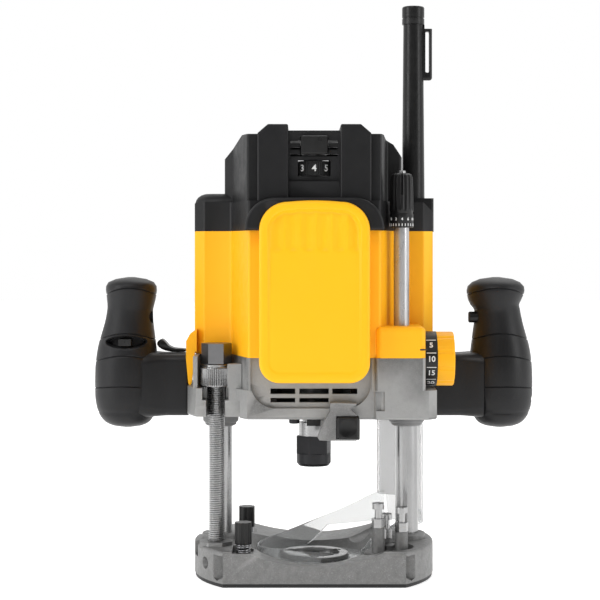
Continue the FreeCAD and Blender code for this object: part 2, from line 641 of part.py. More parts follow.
def cord_guide_tube():
    """The tall tapering guide, with a loop moulded on its outer side."""
    body = Part.makeCone(8.3, 7.1, TUBE_HIGH - TUBE_LOW, Vec(TUBE_X, TUBE_Y, TUBE_LOW))
    loop = softened(box(TUBE_X + 4, TUBE_X + 13.5, TUBE_Y - 2.5, TUBE_Y + 2.5, 347, TUBE_HIGH), 2.0)
    loop = loop.cut(softened(box(TUBE_X + 8.6, TUBE_X + 11.3, TUBE_Y - 9, TUBE_Y + 9, 352.5, 382), 1.0))
    loop = loop.cut(box(TUBE_X + 8, TUBE_X + 14, TUBE_Y - 9, TUBE_Y + 9, 384, 390))
    body = fused([body, loop])
    return body.cut(Part.makeCone(5.6, 4.9, 142, Vec(TUBE_X, TUBE_Y, TUBE_LOW - 0.5)))


def cord_guide_cap():
    cap = softened(cyl(8.0, TUBE_HIGH + 0.1, 400, TUBE_X, TUBE_Y), 1.5, at_height(400))
    cap = cap.cut(cyl(5.0, TUBE_HIGH - 1, 401, TUBE_X, TUBE_Y))
    return cap.cut(softened(ring(9, 7.6, 391, 392.2, TUBE_X, TUBE_Y), 0.1))


def housing_screws():
    """Four screws in the motor housing's top plate."""
    screws = []
    for x, y in HOUSING_SCREWS:
        screws.append(fused([cyl(2.0, HOUSING_TOP - 3.9, HOUSING_TOP + 3, x, y),
                             cyl(3.8, HOUSING_TOP + 0.1, HOUSING_TOP + 3, x, y)]))
    return screws


def spindle_lock_bracket():
    block = box(4.5, 30.4, -62, -24, 98, CAST_Z - 0.1)
    lip = box(4.5, 30.4, -62, FRONT - 0.1, CAST_Z - 1, 124)
    toe = prism([(-7, -38), (5, -50), (5, -24), (-4, -24)], 101, CAST_Z - 0.1)
    block = softened(fused([block, lip]), 1.5, upright)
    block = fused([block, toe])
    block = block.cut(box(14.3, 29.4, -63, -56.15, 99.6, 115.0))
    block = block.cut(box(17.6, 26.4, -60, -20, 101.6, 110.4))
    return block.cut(box(-8, 26.4, -33, -20, 104.6, 110.4))


def handle_profile():
    """Height and half width of a grip, from its rounded foot to its flared cap."""
    return [(101.4, 9.0), (104, 15.5), (110, 19.6), (120, 21.6), (134, 22.6), (148, 21.8), (160, 19.4),
            (172, 17.2), (184, 15.9), (192, 16.2), (198, 17.9), (203.5, 17.0), (206.1, 12.5)]


def grip_radius(z):
    """Half width of the grip at height z, between the profile's points."""
    points = handle_profile()
    for (z0, r0), (z1, r1) in zip(points, points[1:]):
        if z0 <= z <= z1:
            share = (z - z0) / (z1 - z0)
            return r0 + (r1 - r0) * share
    return points[-1][1]


def grip_between(side, z0, z1):
    """The stretch of a grip between two heights, lofted through level circles."""
    heights = [z0] + [z for z, _ in handle_profile() if z0 + 1 < z < z1 - 1] + [z1]
    wires = []
    for z in heights:
        lean = side * (GRIP_X + 2.5 * max(0.0, 1 - abs(z - 130) / 60))
        circle = Part.makeCircle(grip_radius(z), Vec(lean, GRIP_Y, z))
        wires.append(Part.Wire(circle))
    return Part.makeLoft(wires, True)


def handle_body(side):
    """The lower grip and the arm that joins it to the carriage."""
    grip = grip_between(side, 101.4, 166.0)
    inner_low = CAST_LEFT + 0.4 if side < 0 else 82.2
    inner_high = 82.4 if side < 0 else 78.0
    lower = box(inner_low, 122, ARM_Y0, ARM_Y1, ARM_Z0, CAST_STEP + 1)
    upper = box(inner_high, 122, ARM_Y0, ARM_Y1, CAST_STEP + 0.2, ARM_Z1)
    upper = upper.cut(box(0, 88.4, ARM_Y0 - 1, ARM_Y0 + 0.1, 100, 160)) if side < 0 else upper
    arm = fused([lower, upper])
    arm = softened(arm, 5.0, lambda e: e.BoundBox.XLength > 25)
    if side < 0:
        arm = arm.mirror(Vec(0, 0, 0), X_AXIS)
    body = fused([grip, arm])
    if side > 0:
        body = body.cut(rod_between(19.0, (70, KNOB_Y, KNOB_Z), (96, KNOB_Y, KNOB_Z)))
    for z in BOLT_Z:
        body = body.cut(rod_between(3.05, (side * 70, BOLT_Y, z), (side * 106, BOLT_Y, z)))
    return body


def window_cut():
    """The lens-shaped window in the left grip's front."""
    centre = Vec(-GRIP_X - 1.2, -30, 0)
    low = Part.Arc(Vec(-14.3, 0, 161.0), Vec(0, 0, 157.6), Vec(14.3, 0, 161.0)).toShape()
    high = Part.Arc(Vec(14.3, 0, 161.0), Vec(0, 0, 164.6), Vec(-14.3, 0, 161.0)).toShape()
    lens = Part.Face(Part.Wire([low, high])).extrude(Vec(0, 27, 0))
    lens.translate(centre)
    return lens


def left_handle_body():
    return max(handle_body(-1).cut(window_cut()).cut(cyl(3.05, 146, 160, *LEVER_PIVOT)).Solids,
               key=lambda s: s.Volume)


def right_handle_body():
    return max(handle_body(1).Solids, key=lambda s: s.Volume)


def grip_sleeve(side):
    sleeve = grip_between(side, 166.1, 197.0)
    hole = rod_between(4.3, (side * 100, BUTTON_Y, BUTTON_Z), (side * 126, BUTTON_Y, BUTTON_Z))
    return sleeve.cut(hole)


def grip_cap(side):
    return grip_between(side, 197.1, 206.1)


def handle_bolts():
    bolts = []
    for side in (-1, 1):
        inner = 76.0 if side < 0 else 72.0
        for z in BOLT_Z:
            shank = rod_between(3.0, (side * inner, BOLT_Y, z), (side * 104, BOLT_Y, z))
            head = rod_between(4.8, (side * (inner - 5), BOLT_Y, z), (side * inner, BOLT_Y, z))
            bolts.append(shank.fuse(head))
    return bolts


def slide_switch():
    """A thumb slider in the left grip's window."""
    x = -GRIP_X - 1.2
    knob = softened(box(x - 4.4, x + 4.4, -14.2, -5.0, 158.6, 163.4), 0.6)
    return fused([knob, box(x - 2.4, x + 2.4, -6, -3.4, 159.4, 162.6)])


def power_button():
    pin = rod_between(3.9, (108.4, BUTTON_Y, BUTTON_Z), (121.0, BUTTON_Y, BUTTON_Z))
    return softened(pin, 1.0)


def plunge_lock_lever():
    x, y = LEVER_PIVOT
    bar = softened(box(-104, x + 4.6, y - 4.5, y + 4.5, ARM_Z1 + GAP, ARM_Z1 + 3.6), 1.0)
    pad = side_prism([(-109.5, 156), (-109.5, 160.5), (-107.0, 163.2), (-104, 161.5), (-98, 155.6), (-98, 154.6)],
                     y - 6.5, y + 6.5)
    pad = softened(pad, 1.0, lambda e: e.BoundBox.YLength > 5)
    return fused([bar, pad, cyl(3.0, 146.5, ARM_Z1 + 1, x, y)])


# --- speed dial and top button ----------------------------------------------------------------
def speed_dial():
    wheel = fluted(12.5, 0.25, 48, 275.0, 285.0, 0, DIAL_Y)
    return wheel.fuse(cyl(3.0, 272, 288, 0, DIAL_Y)).removeSplitter()


def top_button():
    return softened(box(-9.1, 9.1, -51.5, -38, 289.0, 301.6), 1.2)


# --- depth stop -------------------------------------------------------------------------------
def depth_rod():
    rod = cyl(DEPTH_R, 137.5, 243, DEPTH_X, DEPTH_Y)
    teeth = []
    pitch = math.pi * 2 * PINION_R / 12
    flat_y = KNOB_Y - PINION_R - 0.9
    for i in range(-5, 34):
        z = KNOB_Z + pitch * i
        if 139 < z < 236:
            teeth.append(box(DEPTH_X - 3.2, DEPTH_X + 3.2, flat_y, flat_y + 3, z - pitch * 0.26, z + pitch * 0.26))
    return rod.cut(Part.makeCompound(teeth))


def fine_adjust_knob():
    low = cyl(7.6, 240, 248, DEPTH_X, DEPTH_Y)
    body = fluted(7.0, 0.5, 12, 247, 276.5, DEPTH_X, DEPTH_Y)
    body = fused([low, body]).cut(box(DEPTH_X - 0.5, DEPTH_X + 0.5, -60, DEPTH_Y, 262, 280))
    body = body.cut(cyl(DEPTH_R + RUNNING, 230, 243.1, DEPTH_X, DEPTH_Y))
    tip = softened(cyl(3.4, 276.4, 278.4, DEPTH_X, DEPTH_Y), 0.5, at_height(278.4))
    return fused([body, tip])


def depth_drive_knob():
    """The ribbed knob, its shaft and the pinion that drives the depth rod."""
    grip = fluted(18.4, 0.5, 10, 0, 11.7)
    grip = softened(grip, 1.0, at_height(11.7))
    knob = fused([grip, cyl(3.0, -30, 1)])
    for i in range(12):
        tooth = box(PINION_R - 2.0, PINION_R + 0.75, -0.45, 0.45, -29, -19)
        tooth.rotate(Vec(0, 0, 0), Z_AXIS, 30 * i)
        knob = knob.fuse(tooth)
    knob = knob.fuse(cyl(PINION_R - 1.1, -29, -19)).removeSplitter()
    knob.rotate(Vec(0, 0, 0), Y_AXIS, 90)
    knob.translate(Vec(83.1, KNOB_Y, KNOB_Z))
    return knob


def depth_scale_ring():
    band = rod_between(18.6, (74.5, KNOB_Y, KNOB_Z), (83.0, KNOB_Y, KNOB_Z))
    return band.cut(rod_between(3.02, (70, KNOB_Y, KNOB_Z), (90, KNOB_Y, KNOB_Z)))


def spindle_lock_button():
    """A square button whose stem ends in a plate that meets the spindle's flats."""
    cap = softened(box(14.9, 28.9, -66, -60.4, 100.2, 114.4), 1.2)
    stem = box(18.2, 25.8, -61, -26, 102.2, 109.8)
    finger = box(-5, 25.8, -31, -26.4, 105.2, 109.8)
    fork = box(-5, 5, -27, -16.0, 105.2, 109.8)
    dish = Part.makeSphere(16, Vec(21.9, -80.8, 107.3))
    return fused([cap, stem, finger, fork]).cut(dish)


# --- motor and spindle ------------------------------------------------------------------------
def stator_core():
    core = ring(42.0, 25.4, 162, 212)
    for turn in (0, 180):
        slot = box(18, 36, -17, 17, 150, 220).cut(cyl(25.4, 140, 230))
        slot.rotate(Vec(0, 0, 0), Z_AXIS, turn)
        core = core.cut(slot)
    return core


def field_windings():
    coils = []
    for z0, z1 in ((155, 161.9), (212.1, 217.2)):
        coils.append(softened(ring(38, 27.5, z0, z1), 2.0))
    return coils


def spindle_shaft():
    return fused([cyl(8, 104, 118), cyl(10.4, 95.5, 104.8), cyl(8.5, 118, 140), cyl(8, 140, 224),
                  cyl(5, 224, 235), cyl(6.5, 86, 96)]).cut(cyl(5.0, 60, 110))


def rotor_core():
    core = cyl(24.6, 164, 210)
    for i in range(16):
        slot = box(19, 26, -1.2, 1.2, 160, 214)
        slot.rotate(Vec(0, 0, 0), Z_AXIS, 22.5 * i)
        core = core.cut(slot)
    return core.cut(cyl(8, 150, 230))


def commutator():
    body = ring(13.5, 8, 217.4, 223.6)
    for i in range(24):
        slit = box(12.4, 15, -0.3, 0.3, 210, 225)
        slit.rotate(Vec(0, 0, 0), Z_AXIS, 15 * i)
        body = body.cut(slit)
    return body


def cooling_fan():
    hub = ring(12, 8, 141, 151)
    disc = ring(38, 8, 141, 143)
    blades = []
    for i in range(18):
        blade = box(11, 37.5, -0.8, 0.8, 142.5, 151)
        blade.rotate(Vec(0, 0, 0), Z_AXIS, 20 * i)
        blades.append(blade)
    return fused([hub, disc] + blades)


def collet():
    body = fused([cyl(4.9, 88, 108), Part.makeCone(6.3, 4.9, 9.4, Vec(0, 0, 76.5))])
    body = body.cut(cyl(3.2, 70, 110))
    for turn in (0, 90):
        slit = box(-8, 8, -0.4, 0.4, 70, 98)
        slit.rotate(Vec(0, 0, 0), Z_AXIS, turn)
        body = body.cut(slit)
    return max(body.Solids, key=lambda s: s.Volume)


def collet_nut():
    """A hexagonal nut with a turned, chamfered lower ring."""
    nut = hexagon(22.0, 83.0, 95.4, 0, 0, 15)
    low = fused([cyl(12.0, 76.5, 83.1), Part.makeCone(10.4, 12.0, 2.0, Vec(0, 0, 74.6))])
    nut = nut.common(cyl(12.3, 80, 96))
    nut = fused([nut, low])
    return nut.cut(cyl(6.52, 88.6, 100)).cut(cyl(8.0, 70, 88.7))


def ball_bearing(outer, inner, z0, z1):
    return ring(outer, inner, z0, z1)


def brush_holders():
    holders = []
    for side in (-1, 1):
        x0, x1 = sorted((side * 13.7, side * 40))
        holders.append(softened(box(x0, x1, -5, 5, 217.4, 223.8), 0.8))
    return holders


def speed_control_board():
    return box(-30, 30, 2, 30, 262, 270)


def build():
    os.makedirs(PARTS, exist_ok=True)
    save("base_casting", base_casting())
    save("sub_base_plate", sub_base_plate())
    save("sub_base_screws", *sub_base_screws())
    save("guide_bush_ring", guide_bush_ring())
    save("left_guide_column", guide_column(-1))
    save("right_guide_column", guide_column(1))
    save("threaded_height_rod", threaded_rod())
    save("dust_shroud", dust_shroud())
    save("plunge_springs", *[helix_spring(SPRING_R, 0.7, 16, 30, 222, s * COLUMN_X, 0) for s in (-1, 1)])
    save("turret_pivot_screw", turret_pivot_screw())
    save("turret_disc", turret_disc())
    save("turret_stop_bolts", *turret_stop_bolts())
    save("turret_lock_nuts", *turret_lock_nuts())
    save("front_fence_clamp_knob", fence_knob(-FENCE_Y))
    save("rear_fence_clamp_knob", fence_knob(FENCE_Y))
    save("fence_clamp_springs", *fence_clamp_springs())
    save("knurled_stop_nut", knurled_stop_nut())
    save("hexagon_lock_nut", hexagon_lock_nut())
    save("carriage_casting", carriage_casting())
    save("column_bushes", *column_bushes())
    save("column_seals", *column_seals())
    save("motor_housing", motor_housing())
    save("front_cover", front_cover())
    save("top_housing", top_housing())
    save("housing_screws", *housing_screws())
    save("cord_guide_tube", cord_guide_tube())
    save("cord_guide_cap", cord_guide_cap())
    save("spindle_lock_bracket", spindle_lock_bracket())
    save("left_handle_body", left_handle_body())
    save("right_handle_body", right_handle_body())
    save("left_grip", grip_sleeve(-1))
    save("right_grip", grip_sleeve(1))
    save("left_grip_cap", grip_cap(-1))
    save("right_grip_cap", grip_cap(1))
    save("handle_bolts", *handle_bolts())
    save("slide_switch", slide_switch())
    save("power_button", power_button())
    save("plunge_lock_lever", plunge_lock_lever())
    save("speed_dial", speed_dial())
    save("top_button", top_button())
    save("depth_rod", depth_rod())
    save("fine_adjust_knob", fine_adjust_knob())
    save("depth_drive_knob", depth_drive_knob())
    save("depth_scale_ring", depth_scale_ring())
    save("spindle_lock_button", spindle_lock_button())
    save("stator_core", stator_core())
    save("field_windings", *field_windings())
    save("spindle_shaft", spindle_shaft())
    save("rotor_core", rotor_core())
    save("commutator", commutator())
    save("cooling_fan", cooling_fan())
    save("collet", collet())
    save("collet_nut", collet_nut())
    save("lower_bearing", ball_bearing(19.98, 8.5, 120, 134))
    save("upper_bearing", ball_bearing(13.98, 5, 225.2, 234.8))
    save("brush_holders", *brush_holders())
    save("speed_control_board", speed_control_board())


build()
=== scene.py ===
"""The looks of a two-handle plunge router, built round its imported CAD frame. Metres."""

import math

import bmesh
import bpy
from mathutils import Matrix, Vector


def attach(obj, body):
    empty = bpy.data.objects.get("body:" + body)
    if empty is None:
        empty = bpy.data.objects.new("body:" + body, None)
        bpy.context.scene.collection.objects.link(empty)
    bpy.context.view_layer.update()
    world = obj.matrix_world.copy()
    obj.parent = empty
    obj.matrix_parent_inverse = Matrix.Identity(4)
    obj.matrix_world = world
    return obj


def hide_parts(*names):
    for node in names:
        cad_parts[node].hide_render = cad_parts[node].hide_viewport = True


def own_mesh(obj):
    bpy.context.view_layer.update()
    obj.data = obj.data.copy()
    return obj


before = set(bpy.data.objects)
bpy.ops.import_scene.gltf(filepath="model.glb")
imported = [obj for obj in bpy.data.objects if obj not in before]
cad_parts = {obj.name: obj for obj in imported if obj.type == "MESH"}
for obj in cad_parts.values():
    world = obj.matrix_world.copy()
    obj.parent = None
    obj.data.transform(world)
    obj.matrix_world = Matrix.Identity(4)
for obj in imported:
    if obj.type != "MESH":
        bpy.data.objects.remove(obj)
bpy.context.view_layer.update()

MM = 0.001
FRONT_VIEW_DISTANCE = 1.150
EYE_X, EYE_Z = -0.0096, 0.225
LENS = 98.6
FRAMING_SHIFT = -0.0833

# Places on the object, in millimetres.
COLUMN_X = 65.0
CLAMP_X, CLAMP_Y, CLAMP_FLOOR = -48, 38, 20.3
BUTTON_Y, BUTTON_Z = 2.5, 178
ROD_X, ROD_Y, ROD_R = -66.7, -26.0, 5.5
ROD_LOW, ROD_HIGH = 8.0, 160.5
DEPTH_X, DEPTH_Y = 59.0, -38.5
DIAL_Y, DIAL_Z, DIAL_R = -33.5, 280.0, 12.5
KNOB_Y, KNOB_Z, SCALE_R, SCALE_X = -28.5, 151.0, 18.6, 78.75


# --- node helpers ---------------------------------------------------------------------------
class Nodes:
    """A material's node tree, with short calls for the nodes that the materials share."""

    def __init__(self, name):
        self.material = bpy.data.materials.new(name)
        self.material.use_nodes = True
        self.tree = self.material.node_tree
        self.shader = self.tree.nodes["Principled BSDF"]
        self.place = self.tree.nodes.new("ShaderNodeTexCoord").outputs["Object"]

    def add(self, kind, **settings):
        node = self.tree.nodes.new(kind)
        for key, value in settings.items():
            setattr(node, key, value)
        return node

    def link(self, output, socket):
        self.tree.links.new(output, socket)

    def set(self, **values):
        """Sets the shader's own sockets, named with underscores for spaces."""
        for key, value in values.items():
            self.shader.inputs[key.replace("_", " ")].default_value = value

    def stretched(self, scale):
        mapping = self.add("ShaderNodeMapping")
        mapping.inputs["Scale"].default_value = scale
        self.link(self.place, mapping.inputs["Vector"])
        return mapping.outputs["Vector"]

    def noise(self, scale, detail=3.0, rough=0.55, stretch=None):
        node = self.add("ShaderNodeTexNoise")
        node.inputs["Scale"].default_value = scale
        node.inputs["Detail"].default_value = detail
        node.inputs["Roughness"].default_value = rough
        self.link(self.stretched(stretch) if stretch else self.place, node.inputs["Vector"])
        return node.outputs["Fac"]

    def grain(self, scale):
        node = self.add("ShaderNodeTexVoronoi", feature="SMOOTH_F1")
        node.inputs["Scale"].default_value = scale
        self.link(self.place, node.inputs["Vector"])
        return node.outputs["Distance"]

    def remap(self, value, low, high, to_low, to_high):
        node = self.add("ShaderNodeMapRange")
        for name, number in (("From Min", low), ("From Max", high), ("To Min", to_low), ("To Max", to_high)):
            node.inputs[name].default_value = number
        self.link(value, node.inputs["Value"])
        return node.outputs["Result"]

    def mix(self, factor, first, second):
        """Mixes two colours; each is a colour or another node's output."""
        node = self.add("ShaderNodeMix", data_type="RGBA")
        self.link(factor, node.inputs["Factor"])
        for socket, colour in ((node.inputs[6], first), (node.inputs[7], second)):
            if isinstance(colour, tuple):
                socket.default_value = colour + (1.0,)
            else:
                self.link(colour, socket)
        return node.outputs[2]

    def bump(self, height, strength, distance, under=None):
        node = self.add("ShaderNodeBump")
        node.inputs["Strength"].default_value = strength
        node.inputs["Distance"].default_value = distance
        self.link(height, node.inputs["Height"])
        if under is not None:
            self.link(under, node.inputs["Normal"])
        return node.outputs["Normal"]

    def worn_edges(self, low, high):
        """Near 1 on sharp outer edges and 0 elsewhere."""
        pointiness = self.add("ShaderNodeNewGeometry").outputs["Pointiness"]
        return self.remap(pointiness, low, high, 0.0, 1.0)


def moulded_plastic(name, colour, shade, rough, texture=0.16, edge=None, gloss=0.5):
    """Injection-moulded plastic: spark-eroded texture, faint tone drift and slightly polished edges."""
    n = Nodes(name)
    drift = n.remap(n.noise(9.0, 2.0), 0.35, 0.65, 0.0, 1.0)
    body = n.mix(drift, colour, shade)
    scuffs = n.remap(n.noise(55.0, 6.0, 0.7, (1.0, 1.0, 0.25)), 0.62, 0.74, 0.0, 0.35)
    body = n.mix(scuffs, body, edge or colour)
    if edge:
        body = n.mix(n.worn_edges(0.53, 0.62), body, edge)
    n.link(body, n.shader.inputs["Base Color"])
    n.link(n.remap(n.noise(140.0, 4.0), 0.3, 0.7, rough - 0.07, rough + 0.08), n.shader.inputs["Roughness"])
    fine = n.bump(n.noise(2600.0, 2.0), texture, 0.00012)
    n.link(n.bump(n.noise(60.0, 2.0), 0.06, 0.0006, fine), n.shader.inputs["Normal"])
    n.set(Specular_IOR_Level=gloss)
    return n.material


def cast_metal(name, colour, shade, rough=0.56):
    """Shot-blasted die casting: pitted skin, mottled tone, brighter edges."""
    n = Nodes(name)
    mottle = n.remap(n.noise(160.0, 8.0, 0.75), 0.36, 0.64, 0.0, 1.0)
    body = n.mix(mottle, colour, shade)
    speck = n.remap(n.noise(1900.0, 2.0, 0.5), 0.60, 0.72, 0.0, 0.55)
    body = n.mix(speck, body, tuple(min(1.0, c * 1.9) for c in colour))
    dark_speck = n.remap(n.noise(1500.0, 2.0, 0.5, (1.0, 1.3, 0.8)), 0.62, 0.72, 0.0, 0.5)
    body = n.mix(dark_speck, body, tuple(c * 0.45 for c in shade))
    body = n.mix(n.worn_edges(0.54, 0.66), body, tuple(min(1.0, c * 1.7) for c in colour))
    n.link(body, n.shader.inputs["Base Color"])
    n.link(n.remap(n.noise(300.0, 4.0), 0.3, 0.7, rough - 0.09, rough + 0.1), n.shader.inputs["Roughness"])
    pits = n.bump(n.grain(950.0), 0.32, 0.00022)
    n.link(n.bump(n.noise(2200.0, 3.0), 0.35, 0.00016, pits), n.shader.inputs["Normal"])
    n.set(Metallic=0.55, Specular_IOR_Level=0.5)
    return n.material


def machined_steel(name, colour, rough, streak=(1.0, 1.0, 60.0), lines=0.22, metallic=1.0):
    """Turned or ground steel: fine lines round or along the piece, small stains and a few scratches."""
    n = Nodes(name)
    stains = n.remap(n.noise(70.0, 5.0, 0.65), 0.5, 0.75, 0.0, 0.4)
    body = n.mix(stains, colour, tuple(c * 0.72 for c in colour))
    n.link(body, n.shader.inputs["Base Color"])
    fine = n.noise(90.0, 4.0, 0.6, streak)
    n.link(n.remap(fine, 0.3, 0.7, rough - 0.06, rough + 0.09), n.shader.inputs["Roughness"])
    n.link(n.bump(fine, lines, 0.00008), n.shader.inputs["Normal"])
    n.set(Metallic=metallic)
    return n.material


def clear_plastic(name, tint):
    """Clear polycarbonate with faint flow lines and a dusting of haze."""
    n = Nodes(name)
    n.set(Base_Color=tint + (1.0,), Transmission_Weight=0.84, IOR=1.16)
    n.link(n.remap(n.noise(45.0, 5.0, 0.7), 0.35, 0.75, 0.03, 0.2), n.shader.inputs["Roughness"])
    n.link(n.bump(n.noise(26.0, 2.0, 0.5, (1.0, 1.0, 0.3)), 0.05, 0.0012), n.shader.inputs["Normal"])
    return n.material


def rubber_skin(name, colour, shade, rough=0.52):
    """Soft overmoulded rubber: fine leather-like grain, handled areas a little smoother."""
    n = Nodes(name)
    handled = n.remap(n.noise(18.0, 3.0), 0.4, 0.65, 0.0, 1.0)
    body = n.mix(handled, colour, shade)
    dust = n.remap(n.noise(420.0, 5.0, 0.75), 0.6, 0.8, 0.0, 0.35)
    body = n.mix(dust, body, tuple(c * 2.6 + 0.01 for c in colour))
    n.link(body, n.shader.inputs["Base Color"])
    n.link(n.remap(handled, 0.0, 1.0, rough + 0.05, rough - 0.07), n.shader.inputs["Roughness"])
    leather = n.bump(n.grain(1300.0), 0.28, 0.00018)
    n.link(n.bump(n.noise(2400.0, 2.0), 0.2, 0.0001, leather), n.shader.inputs["Normal"])
    n.set(Specular_IOR_Level=0.3, Sheen_Weight=0.03, Sheen_Roughness=0.5)
    return n.material


YELLOW = moulded_plastic("yellow_shell", (0.96, 0.455, 0.010), (0.94, 0.435, 0.009), 0.42, 0.14,
                         (1.0, 0.53, 0.025), 0.22)
YELLOW_COVER = moulded_plastic("yellow_cover", (0.97, 0.49, 0.009), (0.96, 0.475, 0.008), 0.42, 0.12,
                               (1.0, 0.57, 0.03), 0.22)
BLACK = moulded_plastic("black_shell", (0.010, 0.010, 0.011), (0.007, 0.007, 0.007), 0.45, 0.30,
                        (0.022, 0.022, 0.023), 0.25)
BLACK_SMOOTH = moulded_plastic("black_smooth", (0.008, 0.008, 0.008), (0.006, 0.006, 0.006), 0.34, 0.10,
                               (0.016, 0.016, 0.016), 0.3)
BLACK_SOLE = moulded_plastic("black_sole", (0.012, 0.012, 0.012), (0.016, 0.016, 0.016), 0.5, 0.25,
                             (0.04, 0.04, 0.04), 0.3)
GRIP = rubber_skin("grip_skin", (0.009, 0.009, 0.010), (0.0065, 0.0065, 0.007), 0.46)
SEAL = rubber_skin("seal_rubber", (0.20, 0.20, 0.20), (0.17, 0.17, 0.17), 0.6)
CAST = cast_metal("cast_grey", (0.19, 0.19, 0.187), (0.14, 0.14, 0.138))
CAST_LIGHT = cast_metal("cast_light", (0.23, 0.23, 0.227), (0.18, 0.18, 0.178), 0.5)
STEEL = machined_steel("bright_steel", (0.37, 0.37, 0.37), 0.28, lines=0.05)
GROUND = machined_steel("ground_steel", (0.32, 0.32, 0.32), 0.24, (60.0, 60.0, 1.0), 0.10)
CHROME = machined_steel("chrome", (0.46, 0.46, 0.465), 0.30, (6.0, 6.0, 1.0), 0.01, 0.75)
DARK_STEEL = machined_steel("dark_steel", (0.22, 0.22, 0.225), 0.36)
THREAD_STEEL = machined_steel("thread_steel", (0.46, 0.46, 0.46), 0.30, (1.0, 1.0, 20.0))
BLACK_OXIDE = machined_steel("black_oxide", (0.022, 0.022, 0.024), 0.36, lines=0.15, metallic=0.6)
SPRING = machined_steel("spring_wire", (0.34, 0.34, 0.35), 0.32)
BRONZE = machined_steel("bronze", (0.55, 0.36, 0.16), 0.35)
COPPER = machined_steel("copper", (0.62, 0.27, 0.12), 0.32)
CLEAR = clear_plastic("clear_plastic", (0.80, 0.81, 0.81))
# The duct uses a darker copy of the shroud's clear plastic: painted shade, where the duct looks darker than
# the rest of the shroud.
CLEAR_DUCT_SHADED = clear_plastic("clear_duct_painted_shade", (0.75, 0.75, 0.75))
WHITE_PRINT = moulded_plastic("white_print", (0.80, 0.80, 0.79), (0.72, 0.72, 0.71), 0.5, 0.05)
BLACK_PRINT = moulded_plastic("black_print", (0.015, 0.015, 0.015), (0.02, 0.02, 0.02), 0.5, 0.05)

MATERIAL_OF = {
    CAST_LIGHT: ("base_casting",),
    CAST: ("carriage_casting", "turret_disc", "spindle_lock_bracket"),
    BLACK_SOLE: ("sub_base_plate", "speed_control_board"),
    STEEL: ("sub_base_screws", "guide_bush_ring", "turret_pivot_screw", "turret_stop_bolts",
            "turret_lock_nuts", "knurled_stop_nut", "housing_screws", "handle_bolts", "collet",
            "lower_bearing", "upper_bearing", "spindle_shaft"),
    GROUND: ("left_guide_column", "right_guide_column"),
    DARK_STEEL: ("threaded_height_rod", "hexagon_lock_nut", "stator_core", "rotor_core"),
    CHROME: ("depth_rod",),
    CLEAR: ("dust_shroud",),
    SPRING: ("plunge_springs", "fence_clamp_springs"),
    BRONZE: ("column_bushes", "brush_holders"),
    COPPER: ("field_windings", "commutator"),
    SEAL: ("column_seals",),
    YELLOW: ("motor_housing", "depth_drive_knob"),
    YELLOW_COVER: ("front_cover",),
    BLACK: ("top_housing", "cooling_fan"),
    BLACK_SMOOTH: ("front_fence_clamp_knob", "rear_fence_clamp_knob", "cord_guide_tube", "cord_guide_cap",
                   "slide_switch", "power_button", "plunge_lock_lever", "speed_dial", "top_button",
                   "fine_adjust_knob", "depth_scale_ring", "spindle_lock_button"),
    GRIP: ("left_handle_body", "right_handle_body", "left_grip", "right_grip", "left_grip_cap",
           "right_grip_cap"),
    BLACK_OXIDE: ("collet_nut",),
}
ROUNDED = {
    "base_casting": 0.5, "carriage_casting": 0.6, "motor_housing": 0.7, "top_housing": 0.7,
    "front_cover": 0.5, "spindle_lock_bracket": 0.5, "turret_disc": 0.4, "hexagon_lock_nut": 0.35,
    "knurled_stop_nut": 0.15,
    "collet_nut": 0.3, "guide_bush_ring": 0.3, "cord_guide_tube": 0.4, "top_button": 0.4,
    "turret_lock_nuts": 0.25, "turret_pivot_screw": 0.25, "depth_drive_knob": 0.3,
    "left_guide_column": 0.4, "right_guide_column": 0.4, "sub_base_plate": 0.3,
}


def dress_cad_nodes():
    """Gives each CAD node its material, smooth shading and small rounded edges."""
    for material, names in MATERIAL_OF.items():
        for name in names:
            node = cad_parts[name]
            node.data.materials.clear()
            node.data.materials.append(material)
            finish_edges(node, ROUNDED.get(name, 0.0) * MM)


def finish_edges(obj, width, angle=28.0):
    """Rounds the sharp edges by width, and shades the rest smooth."""
    weld = obj.modifiers.new("weld", "WELD")
    weld.merge_threshold = 0.01 * MM
    if width > 0:
        bevel = obj.modifiers.new("round", "BEVEL")
        bevel.width = width
        bevel.segments = 2
        bevel.limit_method = "ANGLE"
        bevel.angle_limit = math.radians(angle)
        bevel.harden_normals = True
    obj.data.polygons.foreach_set("use_smooth", [True] * len(obj.data.polygons))
    smooth_by_angle(obj, angle)


def smooth_by_angle(obj, angle):
    """Marks edges sharper than the angle, so that smooth shading stops there."""
    mesh = obj.data
    bm = bmesh.new()
    bm.from_mesh(mesh)
    bm.edges.ensure_lookup_table()
    sharp = [len(e.link_faces) != 2 or e.calc_face_angle(0.0) > math.radians(angle) for e in bm.edges]
    bm.free()
    mesh.edges.foreach_set("use_edge_sharp", sharp)


# --- mesh helpers ------------------------------------------------------------------------------
def piece(name, vertices, faces, material, body, slot, stands_for=(), angle=35.0):
    """A mesh piece in millimetres that rides on a body, and may stand for CAD nodes."""
    mesh = bpy.data.meshes.new(name)
    mesh.from_pydata([Vector(v) * MM for v in vertices], [], faces)
    bm = bmesh.new()
    bm.from_mesh(mesh)
    bmesh.ops.remove_doubles(bm, verts=bm.verts, dist=0.004 * MM)
    bmesh.ops.dissolve_degenerate(bm, edges=bm.edges, dist=0.002 * MM)
    bmesh.ops.recalc_face_normals(bm, faces=bm.faces)
    bm.to_mesh(mesh)
    bm.free()
    mesh.materials.append(material)
    obj = bpy.data.objects.new(name, mesh)
    bpy.context.scene.collection.objects.link(obj)
    mesh.polygons.foreach_set("use_smooth", [True] * len(mesh.polygons))
    smooth_by_angle(obj, angle)
    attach(obj, body)
    if stands_for:
        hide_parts(*stands_for)
    return obj


